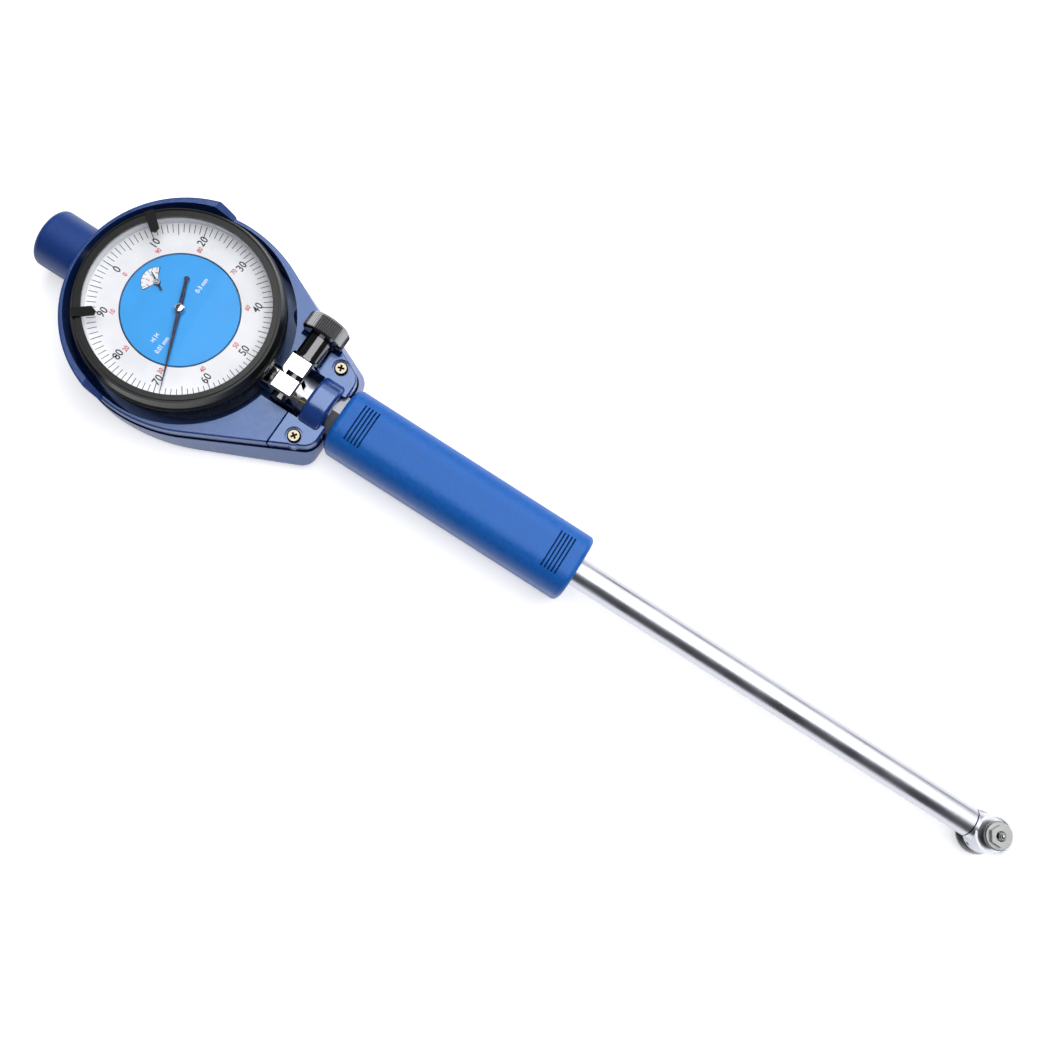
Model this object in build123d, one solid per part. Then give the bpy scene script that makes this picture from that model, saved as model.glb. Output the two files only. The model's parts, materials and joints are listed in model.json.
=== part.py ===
from build123d import *
import math
import os

# Dial bore gauge lying on its back, in millimetres. +X runs from the dial to the measuring head,
# +Y is the thumb screw's side and +Z comes out of the dial. The origin is on the guard's flat back,
# under the centre of the dial.
HANDLE_W = 19.6
AXIS_Z = HANDLE_W / 2

# Guard: tray behind, deck and rim in front, seam between them just above the tube's axis.
GUARD_R = 32.2
RECESS_R = GUARD_R - 1.5
CLAMP_X0 = RECESS_R + 1.0
CLAMP_X1 = CLAMP_X0 + 7.0
COVER_X = CLAMP_X1 - 0.1
ARCH_X0 = CLAMP_X1 + 2.9
ARCH_X1 = ARCH_X0 + 6.6
GUARD_END_X = ARCH_X1 + 1.8
SHOULDER_R = GUARD_R + 7.8
TAPER_DEG = 26.6
FOOT_SHOULDER_R = GUARD_R + 25.8
FOOT_TAPER_DEG = 22.5
GUARD_CORNER_R = 5.0
GUARD_STEP = 0.4
GUARD_WALL = 2.2
GUARD_FLOOR = 2.2
GUARD_BELLY_R = 3.2
GUARD_EDGE_R = 0.7
SEAM_Z = AXIS_Z + 0.5
DECK_Z = AXIS_Z + 5.0
RIM_Z = AXIS_Z + 10.7
RIM_TILT_DEG = 1.5
RIM_R = GUARD_R + 1.3
RIM_SHIFT = 1.9
RIM_EDGE_R = 0.5
RIM_CORNER_X = -9.0
RIM_FOOT_X = -4.6
GUARD_SCREW_X = 0.8 * GUARD_R
GUARD_SCREW_Y = 0.61 * GUARD_R
GUARD_BOSS_R = 3.0

# Rear cap over the indicator's spindle end.
REAR_CAP_R = 8.5
REAR_CAP_X = -GUARD_R - 12.5
REAR_CAP_WALL = 2.0
REAR_CAP_BORE_R = 5.0
REAR_CAP_SPIGOT_R = 6.2
REAR_CAP_EDGE_R = 1.6

# End cover with its arch over the neck.
COVER_TOP_Z = AXIS_Z + 5.3
ARCH_R = 9.0
ARCH_EDGE_R = 1.1
NOTCH_GAP = 0.4
COVER_SCREW_X = ARCH_X0 + 2.0
COVER_SCREW_Y = ARCH_R + 2.5
COVER_BOSS_R = 3.1
SCREW_HEAD_R = 1.9
SCREW_HEAD_H = 1.1
SCREW_SHANK_R = 1.2
SCREW_RECESS_R = 2.5
SCREW_RECESS_DEPTH = 1.3

# Indicator.
CASE_R = RECESS_R - 4.4
CASE_WALL = 1.7
CASE_BOTTOM_Z = AXIS_Z - 4.9
CASE_FLOOR = 1.5
CASE_BACK_T = 1.4
CASE_BACK_EDGE = 0.8
CASE_SCREW_INSET = 1.2
CASE_SCREW_R = 0.75
CASE_SCREW_HEAD_R = 1.3
CASE_SCREW_HEAD_H = 0.55
CASE_SCREW_DEPTH = 3.0
CASE_BOSS_R = 1.6
CASE_BOSS_H = 4.0
CASE_SHOULDER_Z = AXIS_Z + 5.7
CASE_TOP_Z = CASE_SHOULDER_Z + 3.1
BEZEL_BORE_R = CASE_R - 0.85
BEZEL_R = CASE_R + 2.2
BEZEL_BOTTOM_Z = AXIS_Z + 6.0
BEZEL_TOP_Z = BEZEL_BOTTOM_Z + 8.1
BEZEL_LIP_R = CASE_R - 1.3
BEZEL_LIP_T = 0.5
BEZEL_TEETH = 240
BEZEL_TOOTH_DEPTH = 0.3
BEZEL_COIN_H = 3.6
BEZEL_BAND_H = 1.0
BEZEL_STEP = 0.5
BEZEL_BEVEL = 0.6
STACK_R = CASE_R + 0.1
STACK_Z = CASE_TOP_Z + 0.2
DIAL_CENTRE_R = CASE_R - 10.35
SCALE_T = 0.8
SCALE_INNER_R = DIAL_CENTRE_R + 0.3
CRYSTAL_T = 1.0
SLIDE_GAP = 0.3
RUN_GAP = 0.03
SEAT_GAP = 0.02
STEM_R = 4.0
STEM_END_X = CLAMP_X1 - 0.5
SPINDLE_R = 2.0
SPINDLE_END_X = CLAMP_X1 + 1.3
SPINDLE_TIP_R = 1.4
TRAVEL = 1.2

# Movement.
RACK_PITCH = 0.625
RACK_PINION_TEETH = 16
RACK_TOOTH_COUNT = 17
WHEEL_TEETH = 100
CENTRE_PINION_TEETH = 10
WHEEL_MODULE = 0.18
WHEEL_T = 0.5
ARBOR_R = 0.55
WHEEL_HUB_R = 1.5
WHEEL_HOLES = 5
WHEEL_HOLE_R = 1.7
HAIRSPRING_R = 0.62
HAIRSPRING_BLADE = 0.12
HAIRSPRING_GROWTH = 0.3
HAIRSPRING_H = 0.35
HAIRSPRING_HALF_TURNS = 9
RETURN_SPRING_R = 0.9
RETURN_SPRING_WIRE = 0.16
RETURN_SPRING_TURNS = 6
SPRING_NEAR_X = 4.0
SPRING_FAR_X = -10.0
SPRING_Y = 5.0
SPRING_PIN_R = 0.45
PIVOT_R = 0.35
PLATE_T = 1.0
PLATE_R = CASE_R - 3.3
PLATE_Z = AXIS_Z + 2.5
BRIDGE_Z = AXIS_Z + 6.8
RACK_DEPTH = 1.35
PILLAR_R = 1.5
HAND_T = 0.2
READING = 68.8
POINTER_R = BEZEL_LIP_R - 1.5
POINTER_TAIL = 8.6
COUNTER_R = 3.5
COUNTER_ZERO_DEG = 54.0

# Limit markers on the bezel.
MARKER_W = 2.5
MARKER_T = 0.7
MARKER_INNER_R = BEZEL_LIP_R - 4.0
MARKER_OUTER_R = BEZEL_R - 1.2
MARKER_DEG = 39.5
MARKER_GROOVE_R = BEZEL_R - 1.75
MARKER_GROOVE_W = 0.6
MARKER_GROOVE_DEPTH = 0.5
MARKER_GAP = 0.08

# Clamp and its thumb screw.
CLAMP_HUB_R = 6.2
EAR_Y0 = -4.8
EAR_Y1 = 6.8
EAR_TOP_Z = AXIS_Z + 12.5
SLIT_W = 1.5
CLAMP_EDGE = 0.5
THUMB_Z = EAR_TOP_Z - 4.5
THUMB_THREAD_R = 2.5
THUMB_SHANK_R = 3.5
THUMB_WHEEL_R = 6.3
THUMB_WHEEL_W = 5.5
THUMB_WHEEL_Y = 14.5
THUMB_TEETH = 60
THUMB_TOOTH_DEPTH = 0.35
WASHER_R = 4.2
WASHER_T = 0.7
POCKET_X = CLAMP_X0 - 0.1
POCKET_Y = 6.9

# Neck, handle, tube and push rod.
NECK_R = 5.5
NECK_HEX = 12.0
NECK_STEP_X = ARCH_X1 + 0.3
SET_SCREW_X = CLAMP_X1 + 1.5
SET_SCREW_R = 1.05
SET_SCREW_TILT = 22.0
HANDLE_X0 = GUARD_END_X + 1.2
HANDLE_X1 = HANDLE_X0 + 77.2
HANDLE_CORNER_R = 7.0
HANDLE_END_R = 1.6
HANDLE_SEAM_Z = AXIS_Z - 3.4
HANDLE_STEP = 0.35
HANDLE_WALL = 2.4
HANDLE_END_WALL = 4.0
GROOVE_COUNT = 5
GROOVE_PITCH = 1.08
GROOVE_W = 0.45
GROOVE_DEPTH = 0.45
GROOVE_INSET = 4.9
EXIT_R = 5.0
EXIT_DEPTH = 1.0
TUBE_R = 4.2
TUBE_BORE_R = 3.0
TUBE_X0 = CLAMP_X1 + 5.3
TUBE_X1 = HANDLE_X1 + 130.2
ROD_R = 1.5
BUSH_LENGTH = 8.0
BUSH_MID_X = HANDLE_X1 + 21.6
ROD_SPRING_R = 2.2
ROD_SPRING_WIRE = 0.25
ROD_SPRING_TURNS = 5
ROD_SPRING_LENGTH = 12.0

# Measuring head.
HEAD_X = TUBE_X1 + 6.2
HEAD_R = 5.55
HEAD_TOP_Z = AXIS_Z + TUBE_R - 0.3
HEAD_BOTTOM_Z = AXIS_Z - 3.6
HEAD_RIM_W = 0.65
HEAD_RIM_DEPTH = 0.8
HEAD_JOINT_GAP = 0.15
HEAD_SPIGOT = 6.0
CRANK_ARM = 2.5
CRANK_T = 1.8
CRANK_R = 0.7
CRANK_HUB_R = 1.05
CRANK_PIN_R = 0.55
SLOT_W = 2.2
SLOT_GAP = 0.15
GUIDE_R = 2.0
GUIDE_BOTTOM_Z = AXIS_Z - 5.4
ANVIL_NECK_R = 2.4
ANVIL_FLANGE_R = 4.0
ANVIL_FLANGE_Z = AXIS_Z + 5.2
ANVIL_FLANGE_T = 1.2
ANVIL_HEX = 5.2
ANVIL_HEX_H = 1.1
ANVIL_TIP_R = 1.45
ANVIL_TIP_H = 0.7
BALL_R = 0.75
ANVIL_TOP_Z = AXIS_Z + 9.1
CONTACT_R = 1.2
CONTACT_NOSE_R = 0.8
CONTACT_NOSE_H = 0.6
CONTACT_TIP_Z = 0.8
BRIDGE_DISC_R = 6.3
BRIDGE_DISC_T = 1.0
BRIDGE_DISC_Z = GUIDE_BOTTOM_Z - 1.6
BRIDGE_HOLE_R = GUIDE_R + SLIDE_GAP
BRIDGE_PIN_R = 0.6
BRIDGE_PIN_OFFSET = 4.2
BRIDGE_SPRING_R = 2.75
BRIDGE_SPRING_WIRE = 0.2
BRIDGE_SPRING_TURNS = 2
SPRING_END_GAP = 0.12


def rod_z(radius, z0, z1, x=0.0, y=0.0):
    """Round bar along Z."""
    return Pos(x, y, z0) * Cylinder(radius, z1 - z0, align=(Align.CENTER, Align.CENTER, Align.MIN))


def rod_x(radius, x0, x1, y=0.0, z=AXIS_Z):
    """Round bar along X, on the tube's axis unless told otherwise."""
    bar = Cylinder(radius, x1 - x0, align=(Align.CENTER, Align.CENTER, Align.MIN))
    return Pos(x0, y, z) * Rot(0, 90, 0) * bar


def rod_y(radius, y0, y1, x, z):
    """Round bar along Y."""
    bar = Cylinder(radius, y1 - y0, align=(Align.CENTER, Align.CENTER, Align.MIN))
    return Pos(x, y0, z) * Rot(-90, 0, 0) * bar


def block(x0, x1, y0, y1, z0, z1):
    """Box between two corners."""
    return Pos((x0 + x1) / 2, (y0 + y1) / 2, (z0 + z1) / 2) * Box(x1 - x0, y1 - y0, z1 - z0)


def lathe(points):
    """Turned body about Z from (radius, z) points."""
    profile = Plane.XZ * make_face(Polyline(*points, close=True))
    return revolve(profile, Axis.Z)


def dial_point(radius, degrees):
    """Point on the dial, clockwise from the zero mark, which faces -X."""
    angle = math.radians(degrees)
    return (-radius * math.cos(angle), radius * math.sin(angle))


def guard_outline(offset, shoulder_r=SHOULDER_R, taper=TAPER_DEG):
    """Plan of the guard: a round end, soft shoulders and a taper to the neck."""
    radius = GUARD_R + offset
    end_x = GUARD_END_X + offset
    nose = ThreePointArc((-radius, 0), (-radius * math.sqrt(0.5), radius * math.sqrt(0.5)), (0, radius))
    shoulder = JernArc((0, radius), (1, 0), shoulder_r + offset, -taper)
    start = shoulder @ 1
    run = end_x - start.X
    corner = (end_x, start.Y - run * math.tan(math.radians(taper)))
    side = Line(start, corner)
    end = Line(corner, (end_x, 0))
    upper = make_face(Wire([nose, shoulder, side, end, Line((end_x, 0), (-radius, 0))]))
    face = upper + mirror(upper, Plane.XZ)
    corners = [v for v in face.vertices() if abs(v.X - end_x) < 0.01 and abs(v.Y) > 1]
    return fillet(corners, GUARD_CORNER_R + offset)


def guard_slab(offset, z0, z1):
    """The guard's plan, offset and raised between two heights."""
    return Pos(0, 0, z0) * extrude(guard_outline(offset), z1 - z0)


def tray_slab(offset, z0):
    """The tray's drafted block: wider at its foot than at the seam, offset all round."""
    foot = Pos(0, 0, z0) * guard_outline(offset, FOOT_SHOULDER_R, FOOT_TAPER_DEG)
    return loft([foot, Pos(0, 0, SEAM_Z) * guard_outline(offset)], ruled=True)


def level_edges(solid, z):
    """Edges that lie at one height."""
    return [e for e in solid.edges() if abs(e.center().Z - z) < 0.01 and e.bounding_box().size.Z < 0.01]


def guard_screw_spots():
    return [(GUARD_SCREW_X, GUARD_SCREW_Y), (GUARD_SCREW_X, -GUARD_SCREW_Y)]


def cover_screw_spots():
    return [(COVER_SCREW_X, COVER_SCREW_Y), (COVER_SCREW_X, -COVER_SCREW_Y)]


def make_guard_back():
    """Tray with a full rounded belly edge, screw bosses and a saddle for the neck."""
    tray = tray_slab(0, 0)
    tray = fillet(level_edges(tray, 0), GUARD_BELLY_R)
    room = tray_slab(-GUARD_WALL, GUARD_FLOOR)
    room = fillet(level_edges(room, GUARD_FLOOR), GUARD_BELLY_R - GUARD_WALL)
    tray -= room
    for x, y in guard_screw_spots():
        tray += rod_z(GUARD_BOSS_R, GUARD_FLOOR / 2, SEAM_Z, x, y)
    for x, y in cover_screw_spots():
        tray += rod_z(COVER_BOSS_R, GUARD_FLOOR / 2, SEAM_Z, x, y)
    tray += block(ARCH_X0 + GUARD_WALL, ARCH_X1, -ARCH_R, ARCH_R, GUARD_FLOOR / 2, SEAM_Z)
    tray -= rod_x(NECK_R + SEAT_GAP, ARCH_X0, ARCH_X1)
    tray -= rod_x(neck_notch_r(), ARCH_X1, GUARD_END_X + 1)
    tray -= rod_x(REAR_CAP_SPIGOT_R + SEAT_GAP, -GUARD_R - 1, -RECESS_R + 1)
    for x, y in guard_screw_spots():
        tray -= rod_z(SCREW_SHANK_R, 0, SEAM_Z, x, y)
        tray -= rod_z(SCREW_RECESS_R, 0, SCREW_RECESS_DEPTH, x, y)
    for x, y in cover_screw_spots():
        tray -= rod_z(SCREW_SHANK_R, SEAM_Z - cover_screw_bite(), SEAM_Z, x, y)
    return tray


def neck_notch_r():
    """Clears the corners of the neck's hexagon."""
    return NECK_HEX / math.sqrt(3) + NOTCH_GAP


def cover_screw_bite():
    return SEAM_Z - GUARD_FLOOR - 1


def rim_z(x):
    """Height of the rim's tilted top."""
    return RIM_Z + (x - RIM_CORNER_X) * math.tan(math.radians(RIM_TILT_DEG))


def rim_block():
    """Leaning cone: upright at the round end, flared where the rim's corners stand."""
    foot = Pos(0, 0, DECK_Z - GUARD_WALL) * Circle(GUARD_R - GUARD_STEP)
    crest = Pos(RIM_SHIFT, 0, RIM_Z + 1) * Circle(RIM_R)
    return loft([foot, crest], ruled=True)


def rim_cutter():
    """Lowers the rim a little towards the round end, and steeply from its corners to the deck."""
    far = 2 * GUARD_R
    below = DECK_Z - GUARD_WALL - 1
    slope = make_face(
        Polyline(
            (RIM_CORNER_X, RIM_Z),
            (RIM_FOOT_X, DECK_Z),
            (RIM_FOOT_X, below),
            (far, below),
            (far, 2 * RIM_Z),
            (-far, 2 * RIM_Z),
            (-far, rim_z(-far)),
            close=True,
        )
    )
    return extrude(Plane.XZ * slope, far, both=True)


def thumb_room():
    """Room in the deck and the cover round the thumb screw's wheel."""
    x = clamp_mid_x()
    return rod_y(THUMB_WHEEL_R + 0.6, THUMB_WHEEL_Y - 0.8, GUARD_R, x, THUMB_Z)


def clamp_mid_x():
    return (CLAMP_X0 + CLAMP_X1) / 2


def make_guard_front():
    """Deck, its side walls and the raised rim round the indicator."""
    deck = guard_slab(-GUARD_STEP, SEAM_Z, DECK_Z)
    deck = fillet(level_edges(deck, DECK_Z), GUARD_EDGE_R)
    deck -= guard_slab(-GUARD_STEP - GUARD_WALL, SEAM_Z, DECK_Z - GUARD_WALL)
    for x, y in guard_screw_spots():
        deck += rod_z(GUARD_BOSS_R, SEAM_Z, DECK_Z - GUARD_WALL / 2, x, y)
    rim = rim_block() - rim_cutter()
    crest = [e for e in rim.edges() if e.center().X < RIM_CORNER_X and e.center().Z > DECK_Z + 1]
    deck += fillet(crest, RIM_EDGE_R)
    deck -= rod_z(RECESS_R, SEAM_Z - 1, RIM_Z + 1)
    deck -= block(COVER_X - 0.1, GUARD_END_X + 1, -GUARD_R, GUARD_R, SEAM_Z - 1, RIM_Z)
    deck -= block(RECESS_R - 4, COVER_X, -POCKET_Y, POCKET_Y, SEAM_Z - 1, RIM_Z)
    deck -= block(POCKET_X, COVER_X, 0, GUARD_R, SEAM_Z - 1, RIM_Z)
    deck -= thumb_room()
    deck -= rod_x(REAR_CAP_SPIGOT_R + SEAT_GAP, -GUARD_R - 1, -RECESS_R + 1)
    for x, y in guard_screw_spots():
        deck -= rod_z(SCREW_SHANK_R, SEAM_Z, DECK_Z - GUARD_WALL, x, y)
    return deck


def screw_up(x, y, z_head, length):
    """Pan screw put in from below, its head's face at z_head."""
    head = rod_z(SCREW_HEAD_R, z_head, z_head + SCREW_HEAD_H, x, y)
    return head + rod_z(SCREW_SHANK_R - SEAT_GAP, z_head + SCREW_HEAD_H, z_head + length, x, y)


def screw_down(x, y, z_head, length):
    """Pan screw put in from above, its head's top at z_head, with a soft crown."""
    head = rod_z(SCREW_HEAD_R, z_head - SCREW_HEAD_H, z_head, x, y)
    head = chamfer(level_edges(head, z_head), SCREW_HEAD_H / 3)
    return head + rod_z(SCREW_SHANK_R - SEAT_GAP, z_head - length, z_head - SCREW_HEAD_H, x, y)


def make_guard_screws():
    head_z = SCREW_RECESS_DEPTH - SCREW_HEAD_H
    length = DECK_Z - GUARD_WALL - 0.5 - head_z
    return [screw_up(x, y, head_z, length) for x, y in guard_screw_spots()]


def make_rear_cap():
    """Hollow round boss, scooped to sit on the guard's round end."""
    cap = rod_x(REAR_CAP_R, REAR_CAP_X, -GUARD_R + REAR_CAP_R / 2)
    far = [e for e in cap.edges() if abs(e.center().X - REAR_CAP_X) < 0.01]
    cap = fillet(far, REAR_CAP_EDGE_R)
    cap -= rod_z(GUARD_R, -1, SEAM_Z)
    cap -= rod_z(GUARD_R - GUARD_STEP, SEAM_Z, DECK_Z) + rim_block()
    spigot = rod_x(REAR_CAP_SPIGOT_R, -GUARD_R - 1, -RECESS_R)
    cap += spigot
    return cap - rod_x(REAR_CAP_BORE_R, REAR_CAP_X + REAR_CAP_WALL, -RECESS_R + 1)


def make_end_cover():
    """Cover over the neck, with a round arch and two screw recesses."""
    cover = guard_slab(-GUARD_STEP, SEAM_Z, COVER_TOP_Z)
    cover = fillet(level_edges(cover, COVER_TOP_Z), GUARD_EDGE_R)
    cover -= guard_slab(-GUARD_STEP - GUARD_WALL, SEAM_Z, COVER_TOP_Z - GUARD_WALL)
    for x, y in cover_screw_spots():
        cover += rod_z(COVER_BOSS_R, SEAM_Z, COVER_TOP_Z - GUARD_EDGE_R, x, y)
    cover -= block(-GUARD_R - 1, COVER_X, -GUARD_R - 2, GUARD_R + 2, SEAM_Z - 1, RIM_Z)
    arch = rod_x(ARCH_R, ARCH_X0, ARCH_X1)
    arch = fillet(arch.edges().filter_by(GeomType.CIRCLE), ARCH_EDGE_R)
    arch -= block(ARCH_X0 - 1, ARCH_X1 + 1, -ARCH_R - 1, ARCH_R + 1, 0, SEAM_Z)
    cover += arch
    cover -= rod_x(NECK_R + SEAT_GAP, ARCH_X0 - 1, ARCH_X1 + 1)
    cover -= rod_x(neck_notch_r(), ARCH_X1, GUARD_END_X + 1)
    cover -= block(COVER_X - 1, ARCH_X0, -POCKET_Y, POCKET_Y, SEAM_Z - 1, RIM_Z)
    cover -= thumb_room()
    for x, y in cover_screw_spots():
        cover -= rod_z(SCREW_RECESS_R, COVER_TOP_Z - SCREW_RECESS_DEPTH, COVER_TOP_Z + 1, x, y)
        cover -= rod_z(SCREW_SHANK_R, SEAM_Z - 1, COVER_TOP_Z, x, y)
    return cover


def make_cover_screws():
    top = COVER_TOP_Z - SCREW_RECESS_DEPTH + SCREW_HEAD_H
    length = top - SEAM_Z + cover_screw_bite() - 0.5
    return [screw_down(x, y, top, length) for x, y in cover_screw_spots()]


def case_screw_spots():
    return [dial_point(CASE_R - CASE_WALL - CASE_SCREW_INSET, 45 + 90 * i) for i in range(4)]


def make_indicator_case():
    """Cup that holds the movement, with bores for stem and spindle bush."""
    case = lathe(
        [
            (0, CASE_BOTTOM_Z),
            (CASE_R, CASE_BOTTOM_Z),
            (CASE_R, CASE_SHOULDER_Z),
            (BEZEL_BORE_R - 0.05, CASE_SHOULDER_Z),
            (BEZEL_BORE_R - 0.05, CASE_TOP_Z),
            (CASE_R - CASE_WALL, CASE_TOP_Z),
            (CASE_R - CASE_WALL, CASE_BOTTOM_Z + CASE_FLOOR),
            (0, CASE_BOTTOM_Z + CASE_FLOOR),
        ]
    )
    for x, y in case_screw_spots():
        case += rod_z(CASE_BOSS_R, CASE_BOTTOM_Z + CASE_FLOOR / 2, CASE_BOTTOM_Z + CASE_BOSS_H, x, y)
    case -= rod_x(STEM_R + SEAT_GAP, CASE_R - CASE_WALL - 1, CASE_R + 1)
    case -= rod_x(bush_r() + SEAT_GAP, -CASE_R - 1, -CASE_R + CASE_WALL + 1)
    x, y = rack_arbor_spot()
    case -= rod_z(PIVOT_R + RUN_GAP, CASE_BOTTOM_Z - 1, CASE_BOTTOM_Z + CASE_FLOOR + 1, x, y)
    for x, y in case_screw_spots():
        case -= rod_z(CASE_SCREW_R + SEAT_GAP, CASE_BOTTOM_Z - 1, CASE_BOTTOM_Z + CASE_SCREW_DEPTH, x, y)
    return case


def bush_r():
    return SPINDLE_R + 1.0


def make_case_back():
    """Round back lid with a shallow dished rim."""
    z = CASE_BOTTOM_Z - CASE_BACK_T
    edge = CASE_BACK_EDGE
    lid = lathe([(0, z), (CASE_R - edge, z), (CASE_R, z + edge), (CASE_R, CASE_BOTTOM_Z), (0, CASE_BOTTOM_Z)])
    for x, y in case_screw_spots():
        lid -= rod_z(CASE_SCREW_R + SEAT_GAP, z - 1, CASE_BOTTOM_Z + 1, x, y)
        lid -= rod_z(CASE_SCREW_HEAD_R + 0.1, z - 1, z + CASE_SCREW_HEAD_H, x, y)
    return lid


def make_case_back_screws():
    z = CASE_BOTTOM_Z - CASE_BACK_T
    screws = []
    for x, y in case_screw_spots():
        neck_z = z + CASE_SCREW_HEAD_H
        head = rod_z(CASE_SCREW_HEAD_R, z + SEAT_GAP, neck_z, x, y)
        screws.append(head + rod_z(CASE_SCREW_R, neck_z, CASE_BOTTOM_Z + CASE_SCREW_DEPTH - 0.5, x, y))
    return screws


def make_stem():
    """Plain ground stem, pressed into the case and bored for the spindle."""
    stem = rod_x(STEM_R, CASE_R - CASE_WALL + 0.2, STEM_END_X)
    return stem - rod_x(SPINDLE_R + RUN_GAP, CASE_R - CASE_WALL - 1, STEM_END_X + 1)


def make_spindle_bush():
    x0 = -CASE_R - 1.3
    x1 = -CASE_R + CASE_WALL + 1.5
    return rod_x(bush_r(), x0, x1) - rod_x(SPINDLE_R + RUN_GAP, x0 - 1, x1 + 1)


def centre_distance():
    """Distance from a wheel's arbor to the centre pinion's."""
    return WHEEL_MODULE * (WHEEL_TEETH + CENTRE_PINION_TEETH) / 2


def rack_pinion_r():
    return RACK_PITCH * RACK_PINION_TEETH / (2 * math.pi)


def rack_arbor_spot():
    """Rack pinion's arbor: beside the rack, one wheel's distance from the dial's centre."""
    y = -(RACK_DEPTH + rack_pinion_r())
    return (math.sqrt(centre_distance() ** 2 - y**2), y)


def takeup_arbor_spot():
    x, y = rack_arbor_spot()
    return (-x, -y)


def gear(teeth, module, z0, z1, spot, toward):
    """Toothed disc with one tooth that points along the angle toward, in degrees."""
    pitch_r = module * teeth / 2
    tip_r = pitch_r + 0.8 * module
    root_r = pitch_r - 1.2 * module
    step = 360 / teeth
    points = []
    for i in range(teeth):
        for radius, share in ((root_r, -0.3), (tip_r, -0.11), (tip_r, 0.11), (root_r, 0.3)):
            angle = math.radians(toward + (i + share) * step)
            points.append((radius * math.cos(angle), radius * math.sin(angle)))
    face = make_face(Polyline(*points, close=True))
    return Pos(spot[0], spot[1], z0) * extrude(face, z1 - z0)


def wheel_z():
    return BRIDGE_Z - 1.6


def wheel(spot, toward):
    """Large wheel, crossed out by five round holes."""
    z = wheel_z()
    body = gear(WHEEL_TEETH, WHEEL_MODULE, z, z + WHEEL_T, spot, toward)
    hole_ring = WHEEL_MODULE * WHEEL_TEETH / 2 * 0.6
    for i in range(WHEEL_HOLES):
        angle = 2 * math.pi * i / WHEEL_HOLES
        x = spot[0] + hole_ring * math.cos(angle)
        y = spot[1] + hole_ring * math.sin(angle)
        body -= rod_z(WHEEL_HOLE_R, z - 1, z + WHEEL_T + 1, x, y)
    return body


def arbor_angle():
    """Direction of the rack pinion's arbor, seen from the dial's centre."""
    x, y = rack_arbor_spot()
    return math.degrees(math.atan2(y, x))


def make_rack_pinion():
    """Arbor with the pinion that the rack turns."""
    x, y = rack_arbor_spot()
    module = RACK_PITCH / math.pi
    floor = CASE_BOTTOM_Z + CASE_FLOOR
    arbor = rod_z(ARBOR_R, floor + 0.1, BRIDGE_Z - 0.1, x, y)
    arbor += rod_z(PIVOT_R, CASE_BOTTOM_Z + 0.2, BRIDGE_Z + PLATE_T, x, y)
    return arbor + gear(RACK_PINION_TEETH, module, AXIS_Z - 1.2, AXIS_Z + 1.2, (x, y), 90)


def make_rack_wheel():
    spot = rack_arbor_spot()
    hub = rod_z(WHEEL_HUB_R, wheel_z() - 0.6, wheel_z() + WHEEL_T, *spot)
    body = wheel(spot, arbor_angle() + 180) + hub
    return body - rod_z(ARBOR_R, wheel_z() - 1, wheel_z() + 1, *spot)


def make_takeup_wheel():
    """Wheel on the counter hand's arbor, held against the centre pinion by the hairspring."""
    spot = takeup_arbor_spot()
    body = wheel(spot, arbor_angle())
    body += rod_z(ARBOR_R, PLATE_Z + PLATE_T + 0.1, hand_z(), *spot)
    return body + rod_z(PIVOT_R, PLATE_Z, PLATE_Z + PLATE_T + 0.2, *spot)


def make_hairspring():
    """Flat spiral of half turns round the take-up arbor."""
    x, y = takeup_arbor_spot()
    z = wheel_z() - 0.7
    spring = None
    for i in range(HAIRSPRING_HALF_TURNS):
        radius = HAIRSPRING_R + HAIRSPRING_GROWTH * i / 2
        shift = 0 if i % 2 == 0 else HAIRSPRING_GROWTH / 2
        side = 1 if i % 2 == 0 else -1
        turn = Pos(x + shift, y, 0) * ring(radius + HAIRSPRING_BLADE, radius, z, z + HAIRSPRING_H)
        reach = 2 * radius
        half = turn & block(x - reach, x + reach, min(0, side * reach) + y, max(0, side * reach) + y, z, z + 1)
        spring = half if spring is None else spring + half
    return spring


def make_centre_pinion():
    """Pinion and arbor at the dial's centre."""
    arbor = rod_z(ARBOR_R, PLATE_Z + PLATE_T + 0.1, pointer_z() + HAND_T)
    arbor += rod_z(PIVOT_R, PLATE_Z, PLATE_Z + PLATE_T + 0.2)
    gap = 180 / CENTRE_PINION_TEETH
    z0 = wheel_z() - 0.3
    z1 = wheel_z() + WHEEL_T + 0.3
    return arbor + gear(CENTRE_PINION_TEETH, WHEEL_MODULE, z0, z1, (0, 0), arbor_angle() + gap)


def pillar_spots(radius, first):
    """Four spots round the dial's centre, clear of the spindle."""
    return [dial_point(radius, first + 90 * i) for i in range(4)]


def make_movement_plate():
    """Round plate over the spindle, on four pillars."""
    plate = rod_z(PLATE_R, PLATE_Z, PLATE_Z + PLATE_T)
    plate -= rod_z(ARBOR_R + 0.45, PLATE_Z - 1, PLATE_Z + 2, *rack_arbor_spot())
    plate -= rod_z(PIVOT_R + RUN_GAP, PLATE_Z - 1, PLATE_Z + 2, *takeup_arbor_spot())
    return plate - rod_z(PIVOT_R + RUN_GAP, PLATE_Z - 1, PLATE_Z + 2)


def bridge_pillar_spots():
    angle = math.radians(arbor_angle() + 90)
    reach = centre_distance() * 0.85
    x, y = reach * math.cos(angle), reach * math.sin(angle)
    return [(x, y), (-x, -y)]


def make_plate_pillars():
    floor = CASE_BOTTOM_Z + CASE_FLOOR
    pillars = [rod_z(PILLAR_R, floor, PLATE_Z, x, y) for x, y in pillar_spots(PLATE_R - 3, 45)]
    pillars += [rod_z(PILLAR_R, PLATE_Z + PLATE_T, BRIDGE_Z, x, y) for x, y in bridge_pillar_spots()]
    return pillars


def rounded_bar(length, width, z, degrees):
    """Flat bar with round ends, centred on the dial and turned in plan."""
    bar = Pos(0, 0, z) * extrude(SlotOverall(length, width), PLATE_T)
    return Rot(0, 0, degrees) * bar


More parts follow.
